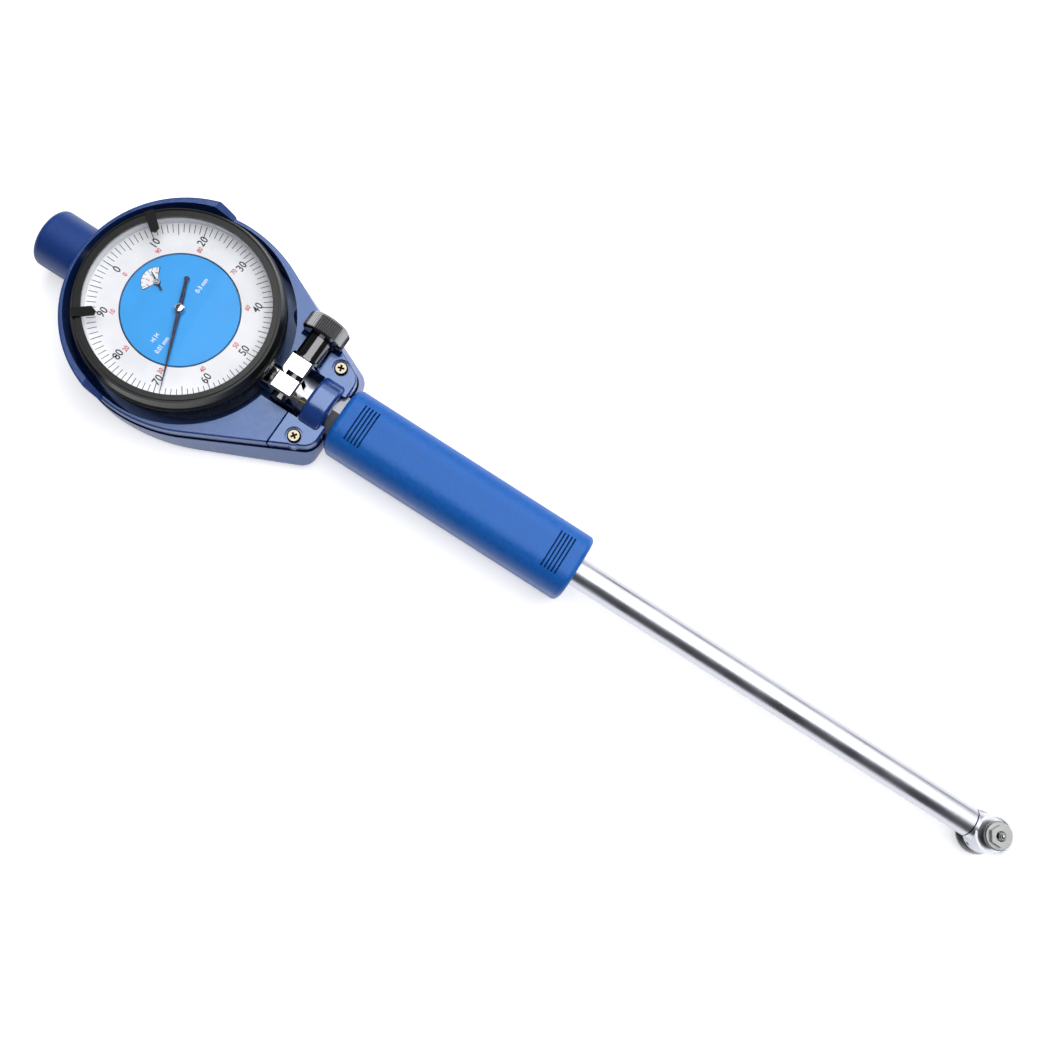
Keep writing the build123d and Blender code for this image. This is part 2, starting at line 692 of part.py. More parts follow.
def make_bridge_plate():
    """Cross-shaped bridge over the wheels."""
    angle = arbor_angle()
    length = 2 * centre_distance() + 5
    plate = rounded_bar(length, 5, BRIDGE_Z, angle) + rounded_bar(length, 5, BRIDGE_Z, angle + 90)
    plate -= rod_z(PIVOT_R + RUN_GAP, BRIDGE_Z - 1, BRIDGE_Z + 2, *rack_arbor_spot())
    plate -= rod_z(ARBOR_R + RUN_GAP, BRIDGE_Z - 1, BRIDGE_Z + 2, *takeup_arbor_spot())
    return plate - rod_z(ARBOR_R + RUN_GAP, BRIDGE_Z - 1, BRIDGE_Z + 2)


def dial_z():
    """Printed face of the dial."""
    return STACK_Z + SCALE_T


def hand_z():
    """Underside of the counter hand."""
    return dial_z() + 0.25


def pointer_z():
    """Underside of the pointer."""
    return hand_z() + HAND_T + 0.45


def make_dial_centre():
    """Fixed centre disc of the dial, on two feet that stand on the bridge."""
    disc = rod_z(DIAL_CENTRE_R, STACK_Z + 0.2, dial_z())
    for x, y in bridge_pillar_spots():
        disc += rod_z(PILLAR_R, BRIDGE_Z + PLATE_T, STACK_Z + 0.3, x, y)
    disc -= rod_z(ARBOR_R + 0.3, STACK_Z - 1, dial_z() + 1)
    return disc - rod_z(ARBOR_R + 0.3, STACK_Z - 1, dial_z() + 1, *takeup_arbor_spot())


def make_pointer():
    """Long tapered pointer with a bulb at its tail."""
    outline = Polyline(
        (POINTER_R, 0.06), (0, 0.62), (-POINTER_TAIL, 0.42), (-POINTER_TAIL, -0.42), (0, -0.62),
        (POINTER_R, -0.06), close=True,
    )
    hand = extrude(make_face(outline), HAND_T)
    hand += rod_z(0.75, 0, HAND_T, -POINTER_TAIL)
    hand += rod_z(1.3, 0, HAND_T)
    hand = Pos(0, 0, pointer_z()) * Rot(0, 0, reading_angle()) * hand
    return hand - rod_z(ARBOR_R, pointer_z() - 1, pointer_z() + 1)


def reading_angle():
    """Pointer's direction in plan, in degrees from +X."""
    return 180 - 360 * READING / 100


def make_pointer_hub():
    """Domed cap on the centre arbor."""
    z = pointer_z() + HAND_T
    dome = lathe([(0, z), (1.45, z), (1.35, z + 0.35), (0.95, z + 0.65), (0, z + 0.8)])
    return dome


def make_counter_hand():
    """Short hand that counts the pointer's turns, with a round boss."""
    x, y = takeup_arbor_spot()
    tail = COUNTER_R * 0.75
    outline = Polyline(
        (COUNTER_R, 0.05), (0, 0.3), (-tail, 0.3), (-tail, -0.3), (0, -0.3), (COUNTER_R, -0.05), close=True
    )
    hand = extrude(make_face(outline), HAND_T) + rod_z(0.92, 0, HAND_T + 0.1)
    turned = COUNTER_ZERO_DEG - READING / 100 * 360 * CENTRE_PINION_TEETH / WHEEL_TEETH
    return Pos(x, y, hand_z()) * Rot(0, 0, 180 - turned) * hand


def ring(outer, inner, z0, z1):
    return rod_z(outer, z0, z1) - rod_z(inner, z0 - 1, z1 + 1)


def make_bezel():
    """Turning bezel: coin edge below, bevelled lip with a marker groove above."""
    edge_top = BEZEL_BOTTOM_Z + BEZEL_COIN_H
    skirt_r = BEZEL_R - BEZEL_TOOTH_DEPTH - 0.2
    band_top = edge_top + 0.3 + BEZEL_BAND_H
    crown_r = BEZEL_R - BEZEL_STEP - 0.1
    body = lathe(
        [
            (BEZEL_BORE_R, BEZEL_BOTTOM_Z),
            (skirt_r, BEZEL_BOTTOM_Z),
            (skirt_r, edge_top),
            (BEZEL_R, edge_top + 0.3),
            (BEZEL_R, band_top),
            (BEZEL_R - BEZEL_STEP, band_top + BEZEL_STEP),
            (crown_r, band_top + 2 * BEZEL_STEP),
            (crown_r - BEZEL_BEVEL, BEZEL_TOP_Z),
            (BEZEL_LIP_R, BEZEL_TOP_Z),
            (BEZEL_LIP_R, BEZEL_TOP_Z - BEZEL_LIP_T),
            (STACK_R + SEAT_GAP, BEZEL_TOP_Z - BEZEL_LIP_T),
            (STACK_R + SEAT_GAP, STACK_Z),
            (BEZEL_BORE_R, STACK_Z),
        ]
    )
    points = []
    for i in range(2 * BEZEL_TEETH):
        angle = math.pi * i / BEZEL_TEETH
        radius = BEZEL_R - 0.1 - (BEZEL_TOOTH_DEPTH if i % 2 else 0)
        points.append((radius * math.cos(angle), radius * math.sin(angle)))
    coin_z = BEZEL_BOTTOM_Z + 0.4
    coin = Pos(0, 0, coin_z) * extrude(make_face(Polyline(*points, close=True)), edge_top - coin_z - 0.2)
    coin -= rod_z(BEZEL_BORE_R + 1.2, 0, BEZEL_TOP_Z)
    half = MARKER_GROOVE_W / 2
    groove_z = BEZEL_TOP_Z - MARKER_GROOVE_DEPTH
    groove = ring(MARKER_GROOVE_R + half, MARKER_GROOVE_R - half, groove_z, BEZEL_TOP_Z + 1)
    return body + coin - groove


def make_scale_ring():
    return ring(STACK_R, SCALE_INNER_R, STACK_Z, dial_z())


def crystal_z():
    return BEZEL_TOP_Z - BEZEL_LIP_T - CRYSTAL_T


def make_dial_spacer():
    """Thin ring between the scale and the crystal."""
    return ring(STACK_R, BEZEL_LIP_R, dial_z(), crystal_z())


def make_crystal():
    return rod_z(STACK_R, crystal_z(), crystal_z() + CRYSTAL_T)


def make_limit_marker(degrees):
    """Tongue over the bezel's lip, with a foot in its groove and a bevelled tip."""
    z = BEZEL_TOP_Z + MARKER_GAP
    half = MARKER_W / 2
    outline = Polyline(
        (MARKER_OUTER_R, -half), (MARKER_OUTER_R, half), (MARKER_INNER_R + 0.5, half),
        (MARKER_INNER_R, 0.1), (MARKER_INNER_R + 0.9, -half), close=True,
    )
    tongue = Pos(0, 0, z) * extrude(make_face(outline), MARKER_T)
    foot_half = MARKER_GROOVE_W / 2 - MARKER_GAP
    foot = ring(
        MARKER_GROOVE_R + foot_half, MARKER_GROOVE_R - foot_half,
        BEZEL_TOP_Z - MARKER_GROOVE_DEPTH + MARKER_GAP, z + MARKER_T / 2,
    )
    foot &= block(0, GUARD_R, -half, half, 0, 2 * RIM_Z)
    return Rot(0, 0, 180 - degrees) * (tongue + foot)


def make_spindle():
    """Spindle with a short rack cut in its side and a peg for the return spring."""
    bar = rod_x(SPINDLE_R, -CASE_R - 4, SPINDLE_END_X)
    x, y = rack_arbor_spot()
    module = RACK_PITCH / math.pi
    half = RACK_PITCH * RACK_TOOTH_COUNT / 2
    tip_y = -(RACK_DEPTH + 0.8 * module)
    root_y = -(RACK_DEPTH - 1.2 * module)
    bar -= block(x - half, x + half, -SPINDLE_R - 1, tip_y, AXIS_Z - 3, AXIS_Z + 3)
    gap = make_face(
        Polyline((-0.37, tip_y - 0.02), (0.37, tip_y - 0.02), (0.19, root_y), (-0.19, root_y), close=True)
    )
    gap = extrude(Plane.XY * gap, 6)
    gap = Pos(0, 0, AXIS_Z - 3) * gap
    for i in range(RACK_TOOTH_COUNT):
        offset = (i - (RACK_TOOTH_COUNT - 1) / 2) * RACK_PITCH
        bar -= Pos(x + offset, 0, 0) * gap
    peg_x, peg_y, peg_z = spring_ends()[0]
    return bar + rod_y(SPRING_PIN_R, 0, peg_y + 0.6, peg_x, peg_z)


def spring_ends():
    """Return spring's two hooks: on the spindle's peg and on the case's pin."""
    return ((SPRING_NEAR_X, SPRING_Y, AXIS_Z), (SPRING_FAR_X, SPRING_Y, AXIS_Z))


def make_spindle_cap():
    """Dust cap on the spindle's far end."""
    x1 = -CASE_R - 1.6
    cap = rod_x(bush_r(), x1 - 5, x1)
    edge = [e for e in cap.edges() if abs(e.center().X - (x1 - 5)) < 0.01]
    cap = fillet(edge, 0.8)
    return cap - rod_x(SPINDLE_R + SEAT_GAP, -CASE_R - 4, x1 + 1)


def spindle_tip_x():
    return SPINDLE_END_X + 2 + SPINDLE_TIP_R


def make_spindle_contact():
    """Round-nosed contact point that meets the push rod."""
    nose = rod_x(SPINDLE_TIP_R, SPINDLE_END_X, SPINDLE_END_X + 2)
    return nose + Pos(SPINDLE_END_X + 2, 0, AXIS_Z) * Sphere(SPINDLE_TIP_R)


def coil(radius, wire, turns, length, place):
    """Round wire wound on a helix along the place's Z."""
    path = Helix(length / turns, length, radius)
    section = Plane(origin=path @ 0, z_dir=path % 0) * Circle(wire)
    return place * sweep(section, path=path)


def make_return_spring():
    """Tension spring that draws the spindle out."""
    near, far = spring_ends()
    clear = SPRING_PIN_R + 2 * RETURN_SPRING_WIRE - 0.1
    place = Pos(far[0] + clear, far[1], far[2]) * Rot(0, 90, 0)
    length = near[0] - far[0] - 2 * clear
    return coil(RETURN_SPRING_R, RETURN_SPRING_WIRE, RETURN_SPRING_TURNS, length, place)


def make_spring_anchor():
    """Pin in the case floor for the return spring's fixed end."""
    _, far = spring_ends()
    return rod_z(SPRING_PIN_R, CASE_BOTTOM_Z + CASE_FLOOR, far[2] + 1.2, far[0], far[1])


def make_clamp_block():
    """Split clamp: hub round the stem, two ears and a slit."""
    x = clamp_mid_x()
    body = rod_x(CLAMP_HUB_R, CLAMP_X0, CLAMP_X1)
    ears = block(CLAMP_X0, CLAMP_X1, EAR_Y0, EAR_Y1, AXIS_Z, EAR_TOP_Z)
    body += chamfer(ears.edges().group_by(Axis.Z)[-1], CLAMP_EDGE)
    slit_y = (EAR_Y0 + EAR_Y1) / 2
    body -= block(CLAMP_X0 - 1, CLAMP_X1 + 1, slit_y - SLIT_W / 2, slit_y + SLIT_W / 2, AXIS_Z, EAR_TOP_Z + 1)
    body -= rod_x(STEM_R + SEAT_GAP, CLAMP_X0 - 1, CLAMP_X1 + 1)
    return body - rod_y(THUMB_THREAD_R + RUN_GAP, EAR_Y0 - 2, EAR_Y1 + 1, x, THUMB_Z)


def make_clamp_washer():
    washer = rod_y(WASHER_R, EAR_Y1, EAR_Y1 + WASHER_T, clamp_mid_x(), THUMB_Z)
    return washer - rod_y(THUMB_THREAD_R + RUN_GAP, EAR_Y1 - 1, EAR_Y1 + 2, clamp_mid_x(), THUMB_Z)


def make_thumb_screw():
    """Screw with a smooth shank and a straight-knurled wheel."""
    x = clamp_mid_x()
    seat_y = EAR_Y1 + WASHER_T
    screw = rod_y(THUMB_THREAD_R, EAR_Y0 - 1.2, seat_y, x, THUMB_Z)
    screw += rod_y(THUMB_SHANK_R, seat_y, THUMB_WHEEL_Y, x, THUMB_Z)
    points = []
    for i in range(2 * THUMB_TEETH):
        angle = math.pi * i / THUMB_TEETH
        radius = THUMB_WHEEL_R - (THUMB_TOOTH_DEPTH if i % 2 else 0)
        points.append((radius * math.cos(angle), radius * math.sin(angle)))
    knurl = extrude(make_face(Polyline(*points, close=True)), THUMB_WHEEL_W)
    soft = Cylinder(THUMB_WHEEL_R, THUMB_WHEEL_W, align=(Align.CENTER, Align.CENTER, Align.MIN))
    soft = chamfer(soft.edges().filter_by(GeomType.CIRCLE), 0.8)
    return screw + Pos(x, THUMB_WHEEL_Y, THUMB_Z) * Rot(-90, 0, 0) * (knurl & soft)


def set_screw_bar(r0, r1, radius):
    """Small bar that points out of the neck, tipped towards -Y."""
    bar = Cylinder(radius, r1 - r0, align=(Align.CENTER, Align.CENTER, Align.MIN))
    return Pos(SET_SCREW_X, 0, AXIS_Z) * Rot(SET_SCREW_TILT, 0, 0) * Pos(0, 0, r0) * bar


def make_set_screw():
    return set_screw_bar(TUBE_R + 0.3, NECK_R + 0.35, SET_SCREW_R)


def make_neck():
    """Plated collar with a hexagon, bored for the tube and the spindle's end."""
    neck = rod_x(NECK_R, CLAMP_X1, NECK_STEP_X)
    hexagon = extrude(RegularPolygon(NECK_HEX / 2, 6, major_radius=False), HANDLE_X0 - NECK_STEP_X)
    neck += Pos(NECK_STEP_X, 0, AXIS_Z) * Rot(0, 90, 0) * hexagon
    neck -= rod_x(TUBE_R + SEAT_GAP, TUBE_X0, HANDLE_X0 + 1)
    neck -= rod_x(SPINDLE_R + SLIDE_GAP, CLAMP_X1 - 1, TUBE_X0)
    return neck - set_screw_bar(TUBE_R + 0.3, NECK_R + 1, SET_SCREW_R + SEAT_GAP)


def handle_body(inset, x0, x1):
    """Rounded-square bar along X, inset all round."""
    width = HANDLE_W - 2 * inset
    section = RectangleRounded(width, width, HANDLE_CORNER_R - inset)
    bar = extrude(section, x1 - x0)
    return Pos(x0, 0, AXIS_Z) * Rot(0, 90, 0) * bar


def handle_rooms():
    """Two hollows inside the handle, either side of a middle rib."""
    middle = (HANDLE_X0 + HANDLE_X1) / 2
    rib = HANDLE_WALL / 2
    rooms = handle_body(HANDLE_WALL, HANDLE_X0 + HANDLE_END_WALL, middle - rib)
    return rooms + handle_body(HANDLE_WALL, middle + rib, HANDLE_X1 - HANDLE_END_WALL)


def soften_ends(solid, radius):
    """Rounds the two end outlines of a bar along X."""
    edges = [
        e
        for e in solid.edges()
        if min(abs(e.center().X - HANDLE_X0), abs(e.center().X - HANDLE_X1)) < 0.01
    ]
    return fillet(edges, radius)


def make_handle_top():
    """Upper half of the handle, with two groups of grip grooves."""
    body = soften_ends(handle_body(0, HANDLE_X0, HANDLE_X1), HANDLE_END_R)
    top = AXIS_Z + HANDLE_W / 2
    for i in range(GROOVE_COUNT):
        for x in (HANDLE_X0 + GROOVE_INSET, HANDLE_X1 - GROOVE_INSET - (GROOVE_COUNT - 1) * GROOVE_PITCH):
            x += i * GROOVE_PITCH
            body -= block(x - GROOVE_W / 2, x + GROOVE_W / 2, -HANDLE_W, HANDLE_W, top - GROOVE_DEPTH, top + 1)
    body -= handle_rooms()
    body -= rod_x(TUBE_R + SEAT_GAP, HANDLE_X0 - 1, HANDLE_X1 + 1)
    body -= rod_x(EXIT_R, HANDLE_X1 - EXIT_DEPTH, HANDLE_X1 + 1)
    return body - block(HANDLE_X0 - 1, HANDLE_X1 + 1, -HANDLE_W, HANDLE_W, -HANDLE_W, HANDLE_SEAM_Z)


def make_handle_bottom():
    """Lower half, set in a little so that the seam shows as a line."""
    body = soften_ends(handle_body(0, HANDLE_X0, HANDLE_X1), HANDLE_END_R)
    width = HANDLE_W - 2 * HANDLE_STEP
    body &= block(HANDLE_X0, HANDLE_X1, -width / 2, width / 2, -HANDLE_W, HANDLE_SEAM_Z)
    body -= handle_rooms()
    return body - rod_x(TUBE_R + SEAT_GAP, HANDLE_X0 - 1, HANDLE_X1 + 1)


def make_tube():
    return rod_x(TUBE_R, TUBE_X0, TUBE_X1) - rod_x(TUBE_BORE_R, TUBE_X0 - 1, TUBE_X1 + 1)


def rod_x0():
    return spindle_tip_x() + 0.05


def crank_spot():
    """Pivot of the bell crank."""
    return (HEAD_X - CRANK_ARM, AXIS_Z - CRANK_ARM)


def rod_x1():
    return crank_spot()[0] - CRANK_R - 0.1


def make_push_rod():
    """Long rod from the bell crank to the indicator, with a spring collar."""
    rod = rod_x(ROD_R, rod_x0(), rod_x1())
    x = BUSH_MID_X + BUSH_LENGTH + 0.2 + ROD_SPRING_LENGTH
    return rod + rod_x(TUBE_BORE_R - SLIDE_GAP, x, x + 2)


def make_rod_bushes():
    bushes = []
    for x in (TUBE_X0 + TRAVEL, BUSH_MID_X):
        bush = rod_x(TUBE_BORE_R - SEAT_GAP, x, x + BUSH_LENGTH)
        bushes.append(bush - rod_x(ROD_R + RUN_GAP, x - 1, x + BUSH_LENGTH + 1))
    return bushes


def make_rod_spring():
    """Light compression spring between the middle bush and the rod's collar."""
    x = BUSH_MID_X + BUSH_LENGTH + ROD_SPRING_WIRE
    place = Pos(x, 0, AXIS_Z) * Rot(0, 90, 0)
    length = ROD_SPRING_LENGTH - 2 * ROD_SPRING_WIRE
    return coil(ROD_SPRING_R, ROD_SPRING_WIRE, ROD_SPRING_TURNS, length, place)


def make_head_body():
    """Measuring head: short barrel, round boss with a raised rim, and a slot for the crank."""
    x, z = crank_spot()
    barrel_x = TUBE_X1 + HEAD_JOINT_GAP
    head = rod_x(TUBE_R, barrel_x, HEAD_X)
    head += rod_x(TUBE_BORE_R - SEAT_GAP, TUBE_X1 - HEAD_SPIGOT, barrel_x)
    head += rod_z(HEAD_R, HEAD_BOTTOM_Z, HEAD_TOP_Z, HEAD_X)
    head -= rod_z(HEAD_R - HEAD_RIM_W, HEAD_TOP_Z - HEAD_RIM_DEPTH, HEAD_TOP_Z + 1, HEAD_X)
    head -= rod_x(ROD_R + RUN_GAP, TUBE_X1 - HEAD_SPIGOT - 1, x)
    half = SLOT_W / 2
    slot_z0 = z - CRANK_HUB_R - SLOT_GAP
    slot_z1 = AXIS_Z + CRANK_R + 2 * SLOT_GAP
    head -= block(x - CRANK_ARM - SLOT_GAP, HEAD_X + CRANK_R + SLOT_GAP, -half, half, slot_z0, slot_z1)
    head -= rod_y(CRANK_PIN_R + SEAT_GAP, -HEAD_R, HEAD_R, x, z)
    head += rod_z(GUIDE_R, GUIDE_BOTTOM_Z, slot_z0, HEAD_X)
    head -= rod_z(CONTACT_R + RUN_GAP, GUIDE_BOTTOM_Z - 1, z, HEAD_X)
    for side in (-1, 1):
        y = side * BRIDGE_PIN_OFFSET
        head -= rod_z(BRIDGE_PIN_R + RUN_GAP, HEAD_BOTTOM_Z - 1, HEAD_BOTTOM_Z + 4.6, HEAD_X, y)
    return head


def make_crank_pin():
    x, z = crank_spot()
    return rod_y(CRANK_PIN_R, -TUBE_R + 0.8, TUBE_R - 0.8, x, z)


def make_bell_crank():
    """Two equal arms at a right angle, one under the rod's end and one over the contact."""
    x, z = crank_spot()
    half = CRANK_T / 2
    crank = rod_y(CRANK_HUB_R, -half, half, x, z)
    crank += rod_y(CRANK_R, -half, half, x, z + CRANK_ARM)
    crank += rod_y(CRANK_R, -half, half, x + CRANK_ARM, z)
    crank += block(x - CRANK_R, x + CRANK_R, -half, half, z, z + CRANK_ARM)
    crank += block(x, x + CRANK_ARM, -half, half, z - CRANK_R, z + CRANK_R)
    return crank - rod_y(CRANK_PIN_R + RUN_GAP, -half - 1, half + 1, x, z)


def make_contact_plunger():
    """Sliding contact below the head; a ball closes its end."""
    _, z = crank_spot()
    top = z - CRANK_R - 0.1
    plunger = rod_z(CONTACT_R, CONTACT_TIP_Z + 2 * BALL_R, top - CONTACT_NOSE_H, HEAD_X)
    plunger += Pos(HEAD_X, 0, top - CONTACT_NOSE_R) * Sphere(CONTACT_NOSE_R)
    plunger += rod_z(BALL_R + 0.2, CONTACT_TIP_Z + BALL_R, CONTACT_TIP_Z + 2 * BALL_R, HEAD_X)
    return plunger - Pos(HEAD_X, 0, CONTACT_TIP_Z + BALL_R) * Sphere(BALL_R)


def make_contact_ball():
    return Pos(HEAD_X, 0, CONTACT_TIP_Z + BALL_R) * Sphere(BALL_R)


def make_anvil():
    """Exchangeable anvil: threaded end, flange and hexagon."""
    floor = HEAD_TOP_Z - HEAD_RIM_DEPTH
    anvil = rod_z(ANVIL_NECK_R, floor, ANVIL_FLANGE_Z, HEAD_X)
    flange = rod_z(ANVIL_FLANGE_R, ANVIL_FLANGE_Z, ANVIL_FLANGE_Z + ANVIL_FLANGE_T, HEAD_X)
    anvil += chamfer(flange.edges().filter_by(GeomType.CIRCLE), 0.3)
    top = ANVIL_FLANGE_Z + ANVIL_FLANGE_T
    hexagon = extrude(RegularPolygon(ANVIL_HEX / 2, 6, major_radius=False), ANVIL_HEX_H)
    anvil += Pos(HEAD_X, 0, top) * hexagon
    return anvil


def anvil_face_z():
    return ANVIL_FLANGE_Z + ANVIL_FLANGE_T + ANVIL_HEX_H


def make_anvil_tip():
    """Dark seat ring that holds the ball."""
    z = anvil_face_z()
    tip = lathe([(0, z), (ANVIL_TIP_R, z), (BALL_R + 0.25, z + ANVIL_TIP_H), (0, z + ANVIL_TIP_H)])
    tip = Pos(HEAD_X, 0, 0) * tip
    return tip - Pos(HEAD_X, 0, ANVIL_TOP_Z - BALL_R) * Sphere(BALL_R)


def make_anvil_ball():
    return Pos(HEAD_X, 0, ANVIL_TOP_Z - BALL_R) * Sphere(BALL_R)


def make_centring_bridge():
    """Round centring plate under the head, dished and open for the contact."""
    z = BRIDGE_DISC_Z
    plate = lathe(
        [
            (BRIDGE_HOLE_R, z),
            (BRIDGE_DISC_R - 0.6, z),
            (BRIDGE_DISC_R, z + 0.4),
            (BRIDGE_DISC_R, z + BRIDGE_DISC_T),
            (BRIDGE_HOLE_R, z + BRIDGE_DISC_T),
        ]
    )
    plate = Pos(HEAD_X, 0, 0) * plate
    for side in (-1, 1):
        y = side * BRIDGE_PIN_OFFSET
        plate -= rod_z(BRIDGE_PIN_R, z - 1, z + BRIDGE_DISC_T + 1, HEAD_X, y)
    return plate


def make_bridge_pins():
    """Guide pins that slide in the head."""
    z = BRIDGE_DISC_Z
    pins = []
    for side in (-1, 1):
        y = side * BRIDGE_PIN_OFFSET
        pins.append(rod_z(BRIDGE_PIN_R - SEAT_GAP, z + 0.2, HEAD_BOTTOM_Z + 2.5, HEAD_X, y))
    return pins


def make_bridge_spring():
    """Short spring between the head and the centring plate."""
    z = BRIDGE_DISC_Z + BRIDGE_DISC_T + BRIDGE_SPRING_WIRE
    length = HEAD_BOTTOM_Z - BRIDGE_SPRING_WIRE - z - SPRING_END_GAP
    return coil(BRIDGE_SPRING_R, BRIDGE_SPRING_WIRE, BRIDGE_SPRING_TURNS, length, Pos(HEAD_X, 0, z))


def build_parts():
    """Every node with its solid or group of solids."""
    return {
        "guard_back": make_guard_back(),
        "guard_front": make_guard_front(),
        "guard_screws": make_guard_screws(),
        "rear_cap": make_rear_cap(),
        "end_cover": make_end_cover(),
        "cover_screws": make_cover_screws(),
        "indicator_case": make_indicator_case(),
        "case_back": make_case_back(),
        "case_back_screws": make_case_back_screws(),
        "stem": make_stem(),
        "spindle_bush": make_spindle_bush(),
        "movement_plate": make_movement_plate(),
        "plate_pillars": make_plate_pillars(),
        "bridge_plate": make_bridge_plate(),
        "rack_pinion": make_rack_pinion(),
        "rack_wheel": make_rack_wheel(),
        "centre_pinion": make_centre_pinion(),
        "takeup_wheel": make_takeup_wheel(),
        "hairspring": make_hairspring(),
        "return_spring": make_return_spring(),
        "spring_anchor": make_spring_anchor(),
        "dial_centre": make_dial_centre(),
        "pointer": make_pointer(),
        "pointer_hub": make_pointer_hub(),
        "counter_hand": make_counter_hand(),
        "bezel": make_bezel(),
        "scale_ring": make_scale_ring(),
        "dial_spacer": make_dial_spacer(),
        "crystal": make_crystal(),
        "limit_marker_low": make_limit_marker(-MARKER_DEG),
        "limit_marker_high": make_limit_marker(MARKER_DEG),
        "spindle": make_spindle(),
        "spindle_cap": make_spindle_cap(),
        "spindle_contact": make_spindle_contact(),
        "clamp_block": make_clamp_block(),
        "clamp_washer": make_clamp_washer(),
        "thumb_screw": make_thumb_screw(),
        "set_screw": make_set_screw(),
        "neck": make_neck(),
        "handle_top": make_handle_top(),
        "handle_bottom": make_handle_bottom(),
        "tube": make_tube(),
        "push_rod": make_push_rod(),
        "rod_bushes": make_rod_bushes(),
        "rod_spring": make_rod_spring(),
        "head_body": make_head_body(),
        "crank_pin": make_crank_pin(),
        "bell_crank": make_bell_crank(),
        "contact_plunger": make_contact_plunger(),
        "contact_ball": make_contact_ball(),
        "anvil": make_anvil(),
        "anvil_tip": make_anvil_tip(),
        "anvil_ball": make_anvil_ball(),
        "centring_bridge": make_centring_bridge(),
        "bridge_pins": make_bridge_pins(),
        "bridge_spring": make_bridge_spring(),
    }


def solids_of(shape):
    """Flat list of the solids in a shape or a list of shapes."""
    if isinstance(shape, list):
        return [solid for item in shape for solid in item.solids()]
    return list(shape.solids())


os.makedirs("parts", exist_ok=True)
for name, shape in build_parts().items():
    solids = solids_of(shape)
    export_step(solids[0] if len(solids) == 1 else Compound(solids), f"parts/{name}.step")
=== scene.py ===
"""Looks of the dial bore gauge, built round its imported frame. Lengths are in metres."""
import json
import math

import bpy
from mathutils import Matrix, Vector


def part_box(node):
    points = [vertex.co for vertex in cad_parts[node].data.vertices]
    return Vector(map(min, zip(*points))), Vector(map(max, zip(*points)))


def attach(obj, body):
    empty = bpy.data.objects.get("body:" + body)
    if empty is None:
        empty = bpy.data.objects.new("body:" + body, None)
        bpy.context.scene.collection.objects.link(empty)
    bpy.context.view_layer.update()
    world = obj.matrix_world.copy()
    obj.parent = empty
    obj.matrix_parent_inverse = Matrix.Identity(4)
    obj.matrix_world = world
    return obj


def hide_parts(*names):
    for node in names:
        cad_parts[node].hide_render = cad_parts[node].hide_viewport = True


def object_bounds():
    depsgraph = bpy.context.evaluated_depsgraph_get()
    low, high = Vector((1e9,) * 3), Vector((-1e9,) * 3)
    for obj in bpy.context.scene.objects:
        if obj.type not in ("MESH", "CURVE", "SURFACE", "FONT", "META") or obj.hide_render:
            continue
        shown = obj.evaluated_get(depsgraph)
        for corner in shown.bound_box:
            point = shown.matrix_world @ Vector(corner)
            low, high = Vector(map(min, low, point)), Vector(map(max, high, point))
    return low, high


bl_info = {
    "name": "Dial bore gauge",
    "version": (1, 0, 0),
    "blender": (4, 5, 0),
    "location": "View3D > Sidebar > Gauge",
    "description": "Finishes and details of a dial bore gauge",
    "category": "Object",
}

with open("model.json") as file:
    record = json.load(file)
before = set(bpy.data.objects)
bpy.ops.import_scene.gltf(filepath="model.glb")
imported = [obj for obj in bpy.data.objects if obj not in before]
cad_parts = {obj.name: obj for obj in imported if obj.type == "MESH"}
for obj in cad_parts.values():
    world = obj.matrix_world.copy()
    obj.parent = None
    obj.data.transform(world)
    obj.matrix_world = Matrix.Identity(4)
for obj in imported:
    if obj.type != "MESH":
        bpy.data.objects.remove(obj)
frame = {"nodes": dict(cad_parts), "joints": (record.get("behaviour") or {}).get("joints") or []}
nodes = frame["nodes"]
cad_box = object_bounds()
MM = 0.001

# Faces that carry print, and the radii of the dial's centre, read from the frame.
DIAL_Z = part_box("scale_ring")[1].z
CENTRE_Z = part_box("dial_centre")[1].z
CENTRE_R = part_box("dial_centre")[1].y
AXIS_Z = sum((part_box("tube")[i].z for i in (0, 1)), 0.0) / 2
INK = 0.03 * MM

# Tint of the daylight that grazes the blue plastic.
SHEEN = "#C8DEFF"

# Lines moulded into the blue parts, in millimetres, and the share of the colour that is left in them as
# painted shade.
JOINT_LINE_MM = 0.28
GROOVE_COUNT = 5
GROOVE_PITCH_MM = 1.08
GROOVE_INSET_MM = 4.9
GROOVE_LIP_MM = 0.08
GROOVE_FLOOR_MM = 0.6
LINE_SHADE = 0.12

# Painted shade line in the joint between tube and head: middle beyond the tube's end and half width, in
# millimetres.
HEAD_JOINT_MM = 0.08
HEAD_JOINT_HALF_MM = 0.17

# Skin of a screw's head kept out of the painted shade, and worn tip of a knurl tooth, in millimetres.
SCREW_SKIN_MM = 0.07
KNURL_TIP_MM = 0.06

# Driver recesses: width as a share of the head, arm as a share of that, depth, and turn of each screw.
CROSS_SHARE = 0.68
CROSS_ARM_SHARE = 0.3
CROSS_DEPTH = 0.9 * MM
CROSS_FIRST_DEG = 20.0
CROSS_STEP_DEG = 35.0
SLOT_W = 0.45 * MM
SLOT_DEPTH = 0.45 * MM

# Scale: marks in each ring, their length and how much wider than the finest they are.
SCALE_MARKS = ((100, 2.5 * MM, 1.0), (20, 3.3 * MM, 1.1), (10, 3.6 * MM, 1.2))

# Words on the blue disc and the middle of each.
CAPTIONS = (
    ("0-3 mm", (0.7 * MM, 8.8 * MM)),
    ("0.01 mm", (1.7 * MM, -10.9 * MM)),
    (">I I<", (-1.0 * MM, -10.2 * MM)),
)

